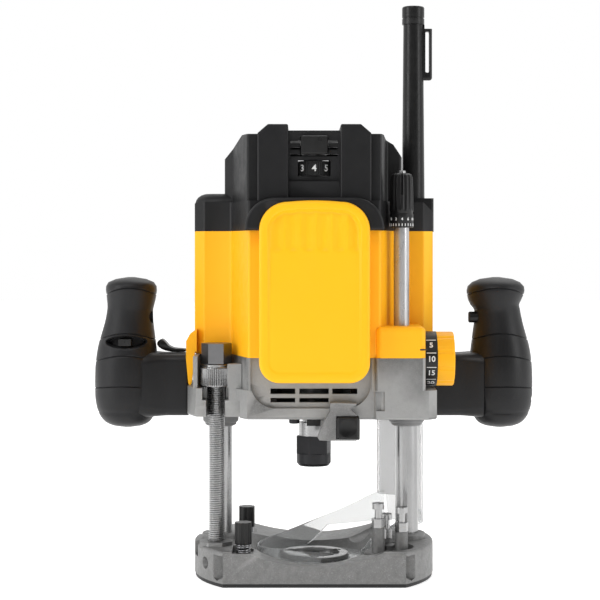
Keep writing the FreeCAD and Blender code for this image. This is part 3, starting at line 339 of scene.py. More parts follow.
def lofted(rings, closed_ends=True):
    """Vertices and faces of a surface through rings that all have the same number of points."""
    count = len(rings[0])
    vertices = [p for ring in rings for p in ring]
    faces = []
    for i in range(len(rings) - 1):
        for j in range(count):
            k = (j + 1) % count
            faces.append((i * count + j, i * count + k, (i + 1) * count + k, (i + 1) * count + j))
    if closed_ends:
        faces.append(tuple(range(count - 1, -1, -1)))
        faces.append(tuple(range((len(rings) - 1) * count, len(rings) * count)))
    return vertices, faces


def turned(profile, x=0.0, y=0.0, segments=96):
    """A turned shape about an upright axis, from (radius, height) points."""
    angles = [2 * math.pi * i / segments for i in range(segments)]
    rings = [[(x + r * math.cos(a), y + r * math.sin(a), z) for a in angles] for r, z in profile]
    return lofted(rings)


def rounded_rectangle(half_x, half_y, radius, power_points=8):
    """Corner-rounded outline, counter-clockwise from the right."""
    points = []
    for corner, (sx, sy) in enumerate(((1, 1), (-1, 1), (-1, -1), (1, -1))):
        for i in range(power_points + 1):
            a = math.radians(90 * corner + 90 * i / power_points)
            points.append((sx * (half_x - radius) + radius * math.cos(a),
                           sy * (half_y - radius) + radius * math.sin(a)))
    return points


def interpolated(table, key):
    """Smooth value between rising (key, value) points, by a Catmull-Rom curve."""
    if key <= table[0][0]:
        return table[0][1]
    if key >= table[-1][0]:
        return table[-1][1]
    i = max(n for n in range(len(table) - 1) if table[n][0] <= key)
    (k0, v0), (k1, v1) = table[i], table[i + 1]
    before = table[i - 1] if i > 0 else (k0 - (k1 - k0), v0)
    after = table[i + 2] if i + 2 < len(table) else (k1 + (k1 - k0), v1)
    t = (key - k0) / (k1 - k0)
    m0 = (v1 - before[1]) / (k1 - before[0]) * (k1 - k0)
    m1 = (after[1] - v0) / (after[0] - k0) * (k1 - k0)
    return ((2 * t**3 - 3 * t**2 + 1) * v0 + (t**3 - 2 * t**2 + t) * m0
            + (-2 * t**3 + 3 * t**2) * v1 + (t**3 - t**2) * m1)


def smooth_step(low, high, value):
    t = min(1.0, max(0.0, (value - low) / (high - low)))
    return t * t * (3 - 2 * t)


def cut_away(obj, *cutters):
    """Cuts closed shapes, given as (vertices, faces) in millimetres, out of a piece for good."""
    for vertices, faces in cutters:
        mesh = bpy.data.meshes.new("cutter")
        mesh.from_pydata([Vector(v) * MM for v in vertices], [], faces)
        bm = bmesh.new()
        bm.from_mesh(mesh)
        bmesh.ops.recalc_face_normals(bm, faces=bm.faces)
        bm.to_mesh(mesh)
        bm.free()
        cutter = bpy.data.objects.new("cutter", mesh)
        bpy.context.scene.collection.objects.link(cutter)
        boolean = obj.modifiers.new("cut", "BOOLEAN")
        boolean.operation = "DIFFERENCE"
        boolean.solver = "EXACT"
        boolean.object = cutter
        graph = bpy.context.evaluated_depsgraph_get()
        made = bpy.data.meshes.new_from_object(obj.evaluated_get(graph))
        obj.modifiers.remove(boolean)
        bpy.data.objects.remove(cutter)
        obj.data = made
    made.polygons.foreach_set("use_smooth", [True] * len(made.polygons))
    smooth_by_angle(obj, 35.0)


def round_bar(radius, start, end, segments=40):
    """A closed cylinder between two points."""
    start, end = Vector(start), Vector(end)
    axis = (end - start).normalized()
    side = axis.orthogonal().normalized()
    other = axis.cross(side)
    angles = [2 * math.pi * i / segments for i in range(segments)]
    spokes = [radius * (math.cos(a) * side + math.sin(a) * other) for a in angles]
    rings = [[tuple(centre + spoke) for spoke in spokes] for centre in (start, end)]
    return lofted(rings)


# --- handles -----------------------------------------------------------------------------------
HANDLE_Y = 6.0
SEGMENTS = 144
GRIP_HALF_WIDTH = ((100.8, 3.0), (101.4, 8.0), (103.4, 13.8), (107.0, 17.6), (112.0, 20.0), (118.0, 21.4),
                   (124.0, 22.0), (140.0, 22.1), (150.0, 21.4), (158.0, 20.3), (167.0, 18.5), (175.0, 16.9),
                   (183.0, 16.1))
GRIP_CENTRE = ((100.8, 130.5), (112.0, 131.4), (140.0, 131.4), (158.0, 131.0), (167.0, 130.3),
               (183.0, 129.0))
# The tops differ: the right one flares further towards the motor.
TOP_HALF_WIDTH = {
    -1: ((187.0, 16.5), (194.0, 17.5), (199.0, 17.8), (202.4, 16.0), (205.0, 9.5), (206.0, 2.5)),
    1: ((187.0, 17.2), (190.5, 18.7), (196.4, 20.2), (200.3, 19.2), (203.4, 15.0), (205.4, 8.5),
        (206.0, 2.5)),
}
TOP_CENTRE = {
    -1: ((187.0, 128.5), (194.0, 128.1), (206.0, 128.4)),
    1: ((187.0, 127.3), (196.4, 127.9), (206.0, 128.3)),
}
GRIP_LOW, GRIP_HIGH = 100.8, 206.0
SEAM_BOW = 4.6
FOOT_SEAM, LOW_SEAM, MID_SEAM, SLEEVE_SEAM, CAP_SEAM = 112.0, 130.4, 151.6, 167.0, 198.4


def grip_point(side, level, angle):
    """A point of the grip's skin; level surfaces bow down towards the sides above the foot."""
    bow = SEAM_BOW * smooth_step(114, 150, level) * (1 - smooth_step(200, 205, level))
    z = level - bow * math.cos(angle) ** 2
    radius = interpolated(GRIP_HALF_WIDTH + TOP_HALF_WIDTH[side], z)
    centre = interpolated(GRIP_CENTRE + TOP_CENTRE[side], z)
    for seam in (LOW_SEAM, MID_SEAM, SLEEVE_SEAM, CAP_SEAM):
        radius -= 0.55 * max(0.0, 1 - (abs(level - seam) / 0.5)) ** 0.6
    radius -= 0.25 * math.exp(-((level - FOOT_SEAM) / 1.0) ** 2)
    depth = radius - 0.7 * math.exp(-((level - FOOT_SEAM) / 1.2) ** 2) * max(0.0, -math.sin(angle))
    if side < 0:
        lens = 1 - ((math.cos(angle) * radius - 0.6) / 14.6) ** 2 - ((z - 161.2) / 4.4) ** 2
        if lens > -0.35 and math.sin(angle) < 0:
            depth += 0.7 * smooth_step(-0.35, 0.0, lens) - 8.5 * smooth_step(-0.02, 0.35, lens)
    return (side * centre + radius * math.cos(angle), HANDLE_Y + depth * math.sin(angle), z)


def grip_levels(low, high):
    """Ring heights: every 1.2 mm, and close together at the seams and the switch window."""
    levels = {low, high}
    steps = int((high - low) / 1.2)
    levels.update(low + (high - low) * i / steps for i in range(steps))
    for seam in (LOW_SEAM, MID_SEAM, SLEEVE_SEAM, CAP_SEAM):
        close = [seam + offset for offset in (-0.5, -0.25, 0.0, 0.25, 0.5)]
        levels.update(level for level in close if low < level < high)
    if low < 150 < high:
        levels.update(157 + 0.4 * i for i in range(25))
    return sorted(levels)


def grip_section(side, low, high):
    """A stretch of the grip's skin between two levels, as a closed shape."""
    angles = [2 * math.pi * i / SEGMENTS for i in range(SEGMENTS)]
    return lofted([[grip_point(side, level, a) for a in angles] for level in grip_levels(low, high)])


def arm_section(side, x, swell):
    """The arm's rounded outline at x; swell widens it where it runs into the grip."""
    low_y, high_y, low_z, high_z = -8.9, 22.9, 109.6, 152.7
    half_y, half_z = (high_y - low_y) / 2, (high_z - low_z) / 2
    outline = rounded_rectangle(half_y + swell, half_z + swell * 0.4, 5.5 + swell, 10)
    points = []
    for y, z in outline:
        ridge = 1.3 * math.exp(-(z / 9.0) ** 2) * smooth_step(92, 98, abs(x)) if y < 0 else 0.0
        points.append((x, (low_y + high_y) / 2 + y - ridge, (low_z + high_z) / 2 + z))
    return points


def handle_arm(side):
    """Vertices and faces of the arm, flaring softly into the grip."""
    start = {-1: 87.3, 1: 82.3}[side]
    stations = [start, start + 0.4, start + 1.0] + [start + 2 + 1.4 * i for i in range(25)]
    rings = []
    for i, x in enumerate(stations):
        shrink = (0.9, 0.25, 0.0)[i] if i < 3 else 0.0
        swell = 3.4 * smooth_step(101, 121, x) - shrink
        rings.append(arm_section(side, side * x, swell))
    return lofted(rings)


def joined(*shapes):
    """Several shapes as one list of vertices and faces."""
    vertices, faces = [], []
    for shape_vertices, shape_faces in shapes:
        start = len(vertices)
        vertices += shape_vertices
        faces += [tuple(start + i for i in face) for face in shape_faces]
    return vertices, faces


def make_handles():
    for side, hand in ((-1, "left"), (1, "right")):
        piece(f"{hand}_handle_arm", *handle_arm(side), GRIP, "carriage", "grip_rubber", angle=50)
        body = piece(f"{hand}_handle_skin", *grip_section(side, GRIP_LOW, SLEEVE_SEAM), GRIP, "carriage",
                     "grip_rubber", (f"{hand}_handle_body",), angle=60)
        sleeve = piece(f"{hand}_sleeve_skin", *grip_section(side, SLEEVE_SEAM, CAP_SEAM), GRIP, "carriage",
                       "grip_rubber", (f"{hand}_grip",), angle=60)
        piece(f"{hand}_cap_skin", *grip_section(side, CAP_SEAM, GRIP_HIGH), GRIP, "carriage", "grip_rubber",
              (f"{hand}_grip_cap",), angle=60)
        hole = round_bar(4.3, (side * 100, BUTTON_Y, BUTTON_Z), (side * 126, BUTTON_Y, BUTTON_Z))
        cut_away(sleeve, hole)
        if side > 0:
            notch = round_bar(2.6, (157.0, -30, 121.0), (151.5, 40, 121.0))
            cut_away(body, notch)


# --- plunge lock lever, fine adjuster and clamp springs -----------------------------------------
LEVER_Y = 9.0


def rounded_corners(points, share=0.22):
    """Cuts each corner of a closed outline with two points, which softens it."""
    made = []
    for i, point in enumerate(points):
        before, after = Vector(points[i - 1]), Vector(points[(i + 1) % len(points)])
        here = Vector(point)
        made += [tuple(here.lerp(before, share)), tuple(here.lerp(after, share))]
    return made


def make_lever():
    """A smooth thumb lever: a flat arm that rises to a curled tip."""
    outline = [(-89.6, 155.6), (-89.6, 153.3), (-100.0, 153.3), (-106.5, 155.0), (-110.3, 158.2),
               (-109.6, 161.2), (-106.6, 162.8), (-104.4, 161.0), (-101.9, 157.8), (-97.9, 156.0)]
    outline = rounded_corners(rounded_corners(outline))
    middle_x, middle_z = -98.0, 156.0
    rings = []
    edge = ((6.4, 0.80), (6.1, 0.90), (5.4, 0.96), (4.4, 1.0))
    for y, shrink in [(-y, shrink) for y, shrink in edge] + list(reversed(edge)):
        rings.append([(middle_x + (x - middle_x) * (0.5 + 0.5 * shrink), LEVER_Y + y,
                       middle_z + (z - middle_z) * shrink) for x, z in outline])
    piece("lever_lobe", *lofted(rings), BLACK_SMOOTH, "plunge_lock", "button_plastic",
          ("plunge_lock_lever",), angle=50)


def ribbed(profile, count, x, y, segments=144):
    """A turned shape with shallow upright flutes, from (radius, height, flute depth) points."""
    rings = []
    for radius, z, flute in profile:
        ring = []
        for i in range(segments):
            a = 2 * math.pi * i / segments
            r = radius - flute * (0.5 + 0.5 * math.cos(count * a)) ** 2
            ring.append((x + r * math.cos(a), y + r * math.sin(a), z))
        rings.append(ring)
    return lofted(rings)


def make_fine_adjuster():
    """The grooved knob over the depth rod, with its scale sleeve and a screw in its top."""
    profile = [(5.4, 240.1, 0), (7.7, 240.1, 0), (8.05, 240.6, 0), (8.05, 249.0, 0), (7.6, 249.6, 0),
               (7.6, 250.4, 0), (8.0, 251.2, 0), (8.05, 253.0, 0.6), (7.95, 264.0, 0.7), (7.7, 273.5, 0.7),
               (7.0, 275.8, 0.4), (5.6, 276.7, 0), (3.4, 276.9, 0)]
    knob = piece("fine_knob_skin", *ribbed(profile, 14, DEPTH_X, DEPTH_Y), BLACK_SMOOTH, "fine_adjuster",
                 "button_plastic", ("fine_adjust_knob",), angle=40)
    left, right, front, back = DEPTH_X - 0.55, DEPTH_X + 0.55, -50.0, -39.0
    groove = ((left, front), (right, front), (right, back), (left, back))
    cut_away(knob, lofted([[(x, y, z) for x, y in groove] for z in (262.0, 278.0)]))
    tip = [(2.9, 276.5), (2.9, 278.2), (2.5, 278.6), (0.4, 278.7)]
    piece("fine_knob_screw", *turned(tip, DEPTH_X, DEPTH_Y, 32), STEEL, "fine_adjuster", "button_plastic",
          angle=40)


def coil(radius, wire, turns, low, high, x, y):
    """A round-wire spring with its ends turned flat."""
    steps = 40
    count = int(steps * turns)
    rings = []
    for i in range(count + 1):
        a = 2 * math.pi * i / steps
        share = smooth_step(0.12, 0.88, i / count)
        z = low + wire + (high - low - 2 * wire) * share
        section = []
        for k in range(12):
            b = 2 * math.pi * k / 12
            r = radius + wire * math.cos(b)
            section.append((x + r * math.cos(a), y + r * math.sin(a), z + wire * math.sin(b)))
        rings.append(section)
    return lofted(rings)


def make_clamp_springs():
    """The short springs under the two fence clamp knobs."""
    front = coil(4.4, 0.62, 4.5, CLAMP_FLOOR, 26.2, CLAMP_X, -CLAMP_Y)
    rear = coil(4.4, 0.62, 4.5, CLAMP_FLOOR, 25.3, CLAMP_X, CLAMP_Y)
    piece("clamp_spring_coils", *joined(front, rear), SPRING, "base", "spring_steel",
          ("fence_clamp_springs",), angle=60)


def make_plunge_springs():
    """The long springs inside the columns, drawn at one length; the real ones shorten as the carriage comes
    down.
    """
    radius, wire, turns = 4.2, 0.7, 16
    low, high, travel = 30.0, 222.0, 68.0
    coils = [coil(radius, wire, turns, low, high, side * COLUMN_X, 0) for side in (-1, 1)]
    springs = piece("plunge_spring_coils", *joined(*coils), SPRING, "base", "spring_steel",
                    ("plunge_springs",), angle=60)
    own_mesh(springs)


# --- raised left end of the top housing ----------------------------------------------------------
def left_tier_ring(inset):
    """Plan of the raised end, drawn in by inset along its outer edges."""
    return [(-50, 49 - inset), (-66 + 0.6 * inset, 49 - inset), (-82.9 + inset, 34 - 0.5 * inset),
            (-82.9 + inset, -5 + 0.5 * inset), (-76 + 0.7 * inset, -11.4 + inset), (-50, -12.4 + inset)]


def make_left_tier():
    """The low tier's left end stands a little higher than its right end, with a soft shoulder."""
    levels = ((250.0, 0.4), (257.0, 0.0), (259.6, 0.6), (261.6, 2.0), (263.2, 4.2), (264.0, 6.6),
              (264.2, 8.0))
    rings = []
    for z, inset in levels:
        plan = rounded_corners(rounded_corners(left_tier_ring(inset), 0.10), 0.25)
        rings.append([(x, y, z) for x, y in plan])
    piece("top_left_shoulder", *lofted(rings), BLACK, "carriage", "black_plastic", angle=40)


# --- front cover -------------------------------------------------------------------------------
COVER_HALF, COVER_LOW, COVER_HIGH, COVER_CROWN = 36.6, 137.2, 257.7, 0.9
COVER_FACE, COVER_BACK = -70.0, -56.1


def arc(cx, cz, radius_x, radius_z, start, end, count):
    """Points of a quarter arc, without its last one; angles in degrees."""
    angles = [math.radians(start + (end - start) * i / count) for i in range(count)]
    return [(cx + radius_x * math.cos(a), cz + radius_z * math.sin(a)) for a in angles]


def straight(start, end, count):
    """Points along a line, without its last one."""
    return [(start[0] + (end[0] - start[0]) * i / count, start[1] + (end[1] - start[1]) * i / count)
            for i in range(count)]


def cover_loop(inset):
    """The cover's outline, moved in by inset: small lower corners and an arched top."""
    high, low = max(19.0 - inset, 4.0), max(13.5 - inset, 4.0)
    half, top, bottom = COVER_HALF - inset, COVER_HIGH - inset, COVER_LOW + inset
    shoulder = top - COVER_CROWN
    points = straight((-half + low, bottom), (half - low, bottom), 56)
    points += arc(half - low, bottom + low, low, low, -90, 0, 14)
    points += straight((half, bottom + low), (half, shoulder - high), 64)
    points += arc(half - high, shoulder - high, high, high, 0, 90, 18)
    run = half - high
    crown = straight((run, shoulder), (-run, shoulder), 64)
    points += [(x, z + COVER_CROWN * (1 - (x / run) ** 2)) for x, z in crown]
    points += arc(-half + high, shoulder - high, high, high, 90, 180, 18)
    points += straight((-half, shoulder - high), (-half, bottom + low), 64)
    points += arc(-half + low, bottom + low, low, low, 180, 270, 14)
    return points


def cover_depth(x, z, inset):
    """Y of the cover's face: a rounded edge, a flat rim, then a sunk panel with flutes at its top."""
    y = COVER_FACE
    if inset < 2.5:
        y += 2.5 - math.sqrt(2.5**2 - (2.5 - inset) ** 2)
    sunk = smooth_step(5.2, 7.6, inset)
    panel = interpolated(((140.0, 0.5), (180.0, 0.8), (225.0, 1.5), (252.0, 2.5)), z)
    flute = (0.5 - 0.5 * math.cos(2 * math.pi * (x - 1.0) / 10.4)) ** 0.7
    y += sunk * (panel + 1.1 * flute * smooth_step(223.5, 227.0, z) * smooth_step(6.8, 8.2, inset))
    return y


def make_front_cover():
    insets = [0.0, 0.1, 0.3, 0.6, 1.0, 1.6, 2.5, 3.6, 4.6, 5.2, 5.6, 6.0, 6.4, 6.8, 7.2, 7.6, 8.2, 9.0, 10.0,
              11.0]
    rings = [[(x, COVER_BACK, z) for x, z in cover_loop(0.0)]]
    rings += [[(x, cover_depth(x, z, d), z) for x, z in cover_loop(d)] for d in insets]
    middle = (COVER_LOW + COVER_HIGH) / 2
    inner = cover_loop(insets[-1])
    for i in range(1, 48):
        scale = 1 - i / 48
        loop = [(x * scale, middle + (z - middle) * scale) for x, z in inner]
        rings.append([(x, cover_depth(x, z, insets[-1]), z) for x, z in loop])
    piece("front_cover_shell", *lofted(rings), YELLOW_COVER, "carriage", "yellow_plastic", ("front_cover",),
          angle=60)


# --- height rod and its nuts ---------------------------------------------------------------------
THREAD_PITCH, THREAD_DEPTH = 1.5, 1.3


def thread_radius(phase):
    """Radius across one thread: crest, flank, root, flank."""
    if phase < 0.18:
        return ROD_R
    if phase < 0.5:
        return ROD_R - THREAD_DEPTH * (phase - 0.18) / 0.32
    if phase < 0.68:
        return ROD_R - THREAD_DEPTH
    return ROD_R - THREAD_DEPTH * (1 - phase) / 0.32


def make_threaded_rod():
    segments = 48
    corners = (0.0, 0.18, 0.5, 0.68)
    count = int((ROD_HIGH - ROD_LOW - 3) / THREAD_PITCH) * len(corners)
    angles = [2 * math.pi * i / segments for i in range(segments)]
    rings = [[(ROD_X + 4.2 * math.cos(a), ROD_Y + 4.2 * math.sin(a), ROD_LOW) for a in angles]]
    for n in range(count):
        turn, corner = divmod(n, len(corners))
        ring = []
        for i, a in enumerate(angles):
            rise = (turn + corners[corner] + i / segments) * THREAD_PITCH
            r = thread_radius(corners[corner])
            ring.append((ROD_X + r * math.cos(a), ROD_Y + r * math.sin(a), ROD_LOW + 0.5 + rise))
        rings.append(ring)
    rings.append([(ROD_X + 4.3 * math.cos(a), ROD_Y + 4.3 * math.sin(a), ROD_HIGH) for a in angles])
    piece("height_rod_thread", *lofted(rings), THREAD_STEEL, "base", "dark_steel", ("threaded_height_rod",),
          angle=25)


def make_stop_nut():
    """The knurled nut: fine upright ridges between two plain rims."""
    segments, count = 440, 44
    profile = ((5.6, 131.9, 0), (10.4, 131.9, 0), (11.0, 132.4, 0), (11.15, 133.0, 0.2), (11.2, 133.4, 0.9),
               (11.2, 144.2, 0.9), (11.15, 144.6, 0.2), (10.9, 145.2, 0), (10.2, 145.6, 0), (10.2, 146.8, 0),
               (9.9, 147.1, 0), (5.6, 147.1, 0))
    rings = []
    for radius, z, depth in profile:
        ring = []
        for i in range(segments):
            a = 2 * math.pi * i / segments
            r = radius - depth * (0.5 - 0.5 * math.cos(count * a))
            ring.append((ROD_X + r * math.cos(a), ROD_Y + r * math.sin(a), z))
        rings.append(ring)
    piece("stop_nut_knurl", *lofted(rings + rings[:1], closed_ends=False), STEEL, "stop_nut", "steel",
          ("knurled_stop_nut",), angle=30)


# --- spindle lock bracket and column seals ---------------------------------------------------------
def make_bracket():
    """A cast hanger: a shaped front plate with a square recess, and the block behind it."""
    outline = [(10.3, 124.2), (28.1, 123.6), (27.6, 122.0), (23.6, 120.2), (30.2, 113.6), (30.2, 98.6),
               (3.4, 98.6), (1.9, 101.2), (5.6, 110.4), (10.3, 118.6)]
    outline = rounded_corners(outline, 0.10)
    middle_x, middle_z = 17.0, 110.0
    rings = []
    for y, scale in ((-62.0, 0.97), (-61.6, 0.985), (-61.0, 1.0), (-55.0, 1.0)):
        rings.append([(middle_x + (x - middle_x) * scale, y, middle_z + (z - middle_z) * scale)
                      for x, z in outline])
    plate = lofted(rings)
    block = rounded_rectangle(13.0, 6.8, 1.6, 6)
    block = lofted([[(17.4 + x, y, 105.0 + z) for x, z in block] for y in (-55.2, -54.2, -26.0, -24.2)])
    toe = rounded_rectangle(5.6, 5.2, 1.4, 6)
    toe = lofted([[(0.2 + x, y, 106.6 + z) for x, z in toe] for y in (-45.0, -44.4, -24.6, -24.2)])
    button = ((14.3, 99.7), (29.5, 99.7), (29.5, 115.0), (14.3, 115.0))
    recess = lofted([[(x, y, z) for x, z in button] for y in (-64.0, -56.0)])
    stem = ((17.9, 101.9), (26.1, 101.9), (26.1, 110.1), (17.9, 110.1))
    passage = lofted([[(x, y, z) for x, z in stem] for y in (-70.0, -20.0)])
    front = piece("lock_bracket_plate", *plate, CAST_LIGHT, "carriage", "cast_grey",
                  ("spindle_lock_bracket",), angle=30)
    cut_away(front, recess, passage)
    back = piece("lock_bracket_block", *joined(block, toe), CAST_LIGHT, "carriage", "cast_grey", angle=30)
    cut_away(back, passage)


def open_casting_fork():
    """Opens the casting's fork to the front, so that the height rod shows there."""
    low_x, high_x = ROD_X - ROD_R - 1.0, ROD_X + ROD_R + 1.0
    corners = ((low_x, -60.0), (high_x, -60.0), (high_x, ROD_Y), (low_x, ROD_Y))
    opening = lofted([[(x, y, z) for x, y in corners] for z in (100.0, 124.0)])
    cutter = piece("casting_fork_slot", *opening, CAST, "carriage", "cast_grey")
    cutter.hide_render = True
    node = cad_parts["carriage_casting"]
    boolean = node.modifiers.new("fork", "BOOLEAN")
    boolean.operation = "DIFFERENCE"
    boolean.solver = "EXACT"
    boolean.object = cutter
    node.modifiers.move(len(node.modifiers) - 1, 1)


def make_seals():
    """Stepped wiper seals under the casting's column bosses."""
    profile = [(8.15, 102.6), (9.6, 102.6), (10.8, 103.4), (10.9, 104.6), (12.2, 105.6), (12.4, 106.6),
               (12.4, 109.3), (8.15, 109.3)]
    rings = [turned(profile + profile[:1], side * COLUMN_X) for side in (-1, 1)]
    seals = [(vertices, [f for f in faces if len(f) == 4]) for vertices, faces in rings]
    piece("wiper_seals", *joined(*seals), SEAL, "carriage", "seal_rubber", ("column_seals",), angle=30)


def make_screw_under_casting():
    """A small socket screw head under the casting's front edge."""
    head = [(0.2, 108.4), (1.6, 108.4), (1.7, 110.0), (1.9, 110.0), (1.9, 108.6), (3.2, 108.6), (3.6, 109.2),
            (3.6, 112.4)]
    piece("front_screw_head", *turned(head, -13.4, -46.0, 40), BLACK_OXIDE, "carriage", "black_steel",
          angle=30)


# --- clear dust shroud ---------------------------------------------------------------------------
BOWL_R, SHROUD_WALL, BOWL_FLOOR = 39.9, 1.7, 9.2
DUCT_X, DUCT_Y, DUCT_TOP = 64.2, 63.0, 178.0
DUCT_HALF_X, DUCT_HALF_Y = 17.0, 11.0


def wall_low(x, y):
    """Bottom of a shroud wall: on the bowl's floor, then climbing over the base's rim."""
    return min(24.6, 9.2 + 1.5 * max(0.0, math.hypot(x, y) - 41.0))


def left_wall_top(x, y):
    """The left and rear wall's sweeping top edge."""
    rear = interpolated(((-42.0, 19.5), (-24.0, 21.8), (0.0, 29.0), (23.5, 36.6), (54.0, 47.5)), x)
    front = interpolated(((-42.0, 19.8), (-25.0, 21.6), (-8.0, 20.5), (5.0, 16.2)), x)
    return front + (rear - front) * smooth_step(-12, 8, y)


def right_wall_top(x, y):
    """The right wall's top edge, lower than the rear one."""
    return interpolated(((34.0, 20.0), (40.0, 25.0), (52.0, 28.7), (80.0, 35.5)), x)


def wall_strip(path, top_at):
    """A thin standing wall along a plan path, rounded along its top and at both ends."""
    rings = []
    half = SHROUD_WALL / 2
    for i, (x, y) in enumerate(path):
        before, after = path[max(0, i - 1)], path[min(len(path) - 1, i + 1)]
        along = Vector((after[0] - before[0], after[1] - before[1])).normalized()
        end = min(i, len(path) - 1 - i)
        t = half * (0.45, 0.85, 1.0)[min(end, 2)]
        top = top_at(x, y) - (1.0, 0.25, 0.0)[min(end, 2)]
        low = min(wall_low(x, y), top - 2.0)
        section = [(-t, low), (t, low), (t, top - 0.7), (t * 0.6, top - 0.15), (0.0, top),
                   (-t * 0.6, top - 0.15), (-t, top - 0.7)]
        rings.append([(x - along.y * d, y + along.x * d, z) for d, z in section])
    return lofted(rings)


def bowl_arc(start, end, count):
    """Points on the bowl's wall between two bearings in degrees."""
    middle = BOWL_R - SHROUD_WALL / 2
    turns = [math.radians(start + (end - start) * i / count) for i in range(count + 1)]
    return [(middle * math.cos(a), middle * math.sin(a)) for a in turns]


def bowl_floor():
    """The flat ring that closes the bowl's bottom round the bit."""
    section = [(25.2, BOWL_FLOOR), (BOWL_R - 0.6, BOWL_FLOOR), (BOWL_R, BOWL_FLOOR + 0.6),
               (BOWL_R, BOWL_FLOOR + SHROUD_WALL), (25.5, BOWL_FLOOR + SHROUD_WALL), (25.2, BOWL_FLOOR + 1.3)]
    turns = [2 * math.pi * i / 120 for i in range(120)]
    return lofted([[(r * math.cos(a), r * math.sin(a), z) for r, z in section] for a in turns + turns[:1]],
                  closed_ends=False)


def duct_wall():
    """The upright oval duct, cut away low down where the channel from the bowl runs in."""
    rings = []
    for i in range(121):
        degrees = -180 + 3.0 * i
        a = math.radians(degrees)
        closed_side = smooth_step(-48, -34, degrees) * (1 - smooth_step(117, 131, degrees))
        low = 46.0 + (24.8 - 46.0) * closed_side
        outer = (DUCT_X + DUCT_HALF_X * math.cos(a), DUCT_Y + DUCT_HALF_Y * math.sin(a))
        inner = (DUCT_X + (DUCT_HALF_X - SHROUD_WALL) * math.cos(a),
                 DUCT_Y + (DUCT_HALF_Y - SHROUD_WALL) * math.sin(a))
        middle = ((outer[0] + inner[0]) / 2, (outer[1] + inner[1]) / 2)
        rings.append([(*outer, low), (*outer, 90.0), (*outer, DUCT_TOP - 0.6), (*middle, DUCT_TOP),
                      (*inner, DUCT_TOP - 0.6), (*inner, 90.0), (*inner, low)])
    return lofted(rings, closed_ends=False)


def make_shroud():
    left_path = straight((53.1, 72.8), (-18.5, 35.0), 40) + bowl_arc(117.5, 277.0, 80)
    right_path = straight((79.7, 57.5), (34.2, -19.6), 40) + bowl_arc(-30.0, -34.0, 3)
    piece("shroud_left_wall", *wall_strip(left_path, left_wall_top), CLEAR, "base", "clear_plastic",
          ("dust_shroud",), angle=50)
    piece("shroud_right_wall", *wall_strip(right_path, right_wall_top), CLEAR, "base", "clear_plastic",
          angle=50)
    piece("shroud_floor", *bowl_floor(), CLEAR, "base", "clear_plastic", angle=50)
    # The duct's darker tint is painted shade, not a different plastic.
    piece("shroud_duct", *duct_wall(), CLEAR_DUCT_SHADED, "base", "clear_plastic", angle=50)


# --- printed marks --------------------------------------------------------------------------------
def characters(text, size, thickness=0.16):
    """Vertices and faces of upright text in the XZ plane, centred at the origin, in millimetres."""
    curve = bpy.data.curves.new("mark", "FONT")
    curve.body = text
    curve.size = size
    curve.extrude = thickness
    curve.align_x, curve.align_y = "CENTER", "CENTER"
    curve.resolution_u = 4
    curve.offset = size * 0.022
    holder = bpy.data.objects.new("mark", curve)
    bpy.context.scene.collection.objects.link(holder)
    graph = bpy.context.evaluated_depsgraph_get()
    mesh = bpy.data.meshes.new_from_object(holder.evaluated_get(graph))
    vertices = [(v.co.x, -v.co.z, v.co.y) for v in mesh.vertices]
    faces = [tuple(p.vertices) for p in mesh.polygons]
    bpy.data.objects.remove(holder)
    return vertices, faces


def bar_mark(width, height, thickness=0.16):
    """A thin printed bar with bevelled corners in the XZ plane."""
    outline = rounded_rectangle(width / 2, height / 2, min(width, height) * 0.3, 3)
    return lofted([[(x, y, z) for x, z in outline] for y in (-thickness, thickness)])


def wrapped_upright(shape, radius, x, y, bearing, z):
    """Bends a flat mark round an upright cylinder; bearing is in degrees from -Y towards +X."""
    vertices, faces = shape
    made = []
    for px, py, pz in vertices:
        a = math.radians(bearing) + px / radius
        r = radius - py
        made.append((x + r * math.sin(a), y - r * math.cos(a), z + pz))
    return made, faces


def wrapped_across(shape, radius, x, y, z, bearing):
    """Bends a flat mark round a cylinder that lies along X; bearing is in degrees upward from -Y."""
    vertices, faces = shape
    made = []
    for px, py, pz in vertices:
        a = math.radians(bearing) + pz / radius
        r = radius - py
        made.append((x + px, y - r * math.cos(a), z + r * math.sin(a)))
    return made, faces


def make_marks():
    digits = [wrapped_upright(characters(str(4 + i), 6.2), DIAL_R, 0, DIAL_Y, 40 * i, DIAL_Z)
              for i in range(-3, 4)]
    piece("dial_numbers", *joined(*digits), WHITE_PRINT, "speed_dial", "button_plastic", angle=20)
    numbers = [wrapped_across(characters(str(n), 5.2), SCALE_R, SCALE_X, KNOB_Y, KNOB_Z, 32 - 30 * i)
               for i, n in enumerate((5, 10, 15, 20, 25))]
    lines = [wrapped_across(bar_mark(6.5, 0.5), SCALE_R, SCALE_X, KNOB_Y, KNOB_Z, 45 - 30 * i)
             for i in range(6)]
    piece("scale_numbers", *joined(*numbers, *lines), WHITE_PRINT, "depth_drive", "button_plastic", angle=20)
    sleeve_r = 8.05
    ticks = [wrapped_upright(bar_mark(0.5, 1.8), sleeve_r, DEPTH_X, DEPTH_Y, -75 + 15 * i, 242.0)
             for i in range(24)]
    figures = [wrapped_upright(characters(str(2 * i), 2.6), sleeve_r, DEPTH_X, DEPTH_Y, -60 + 30 * i, 245.8)
               for i in range(6)]
    piece("fine_scale", *joined(*ticks, *figures), WHITE_PRINT, "fine_adjuster", "button_plastic", angle=20)
    bar, faces = bar_mark(5.0, 1.0)
    pointer = [(px + 72.6, py - 59.05, pz + 158.8) for px, py, pz in bar]
    piece("depth_pointer", pointer, faces, BLACK_PRINT, "carriage", "button_plastic", angle=20)


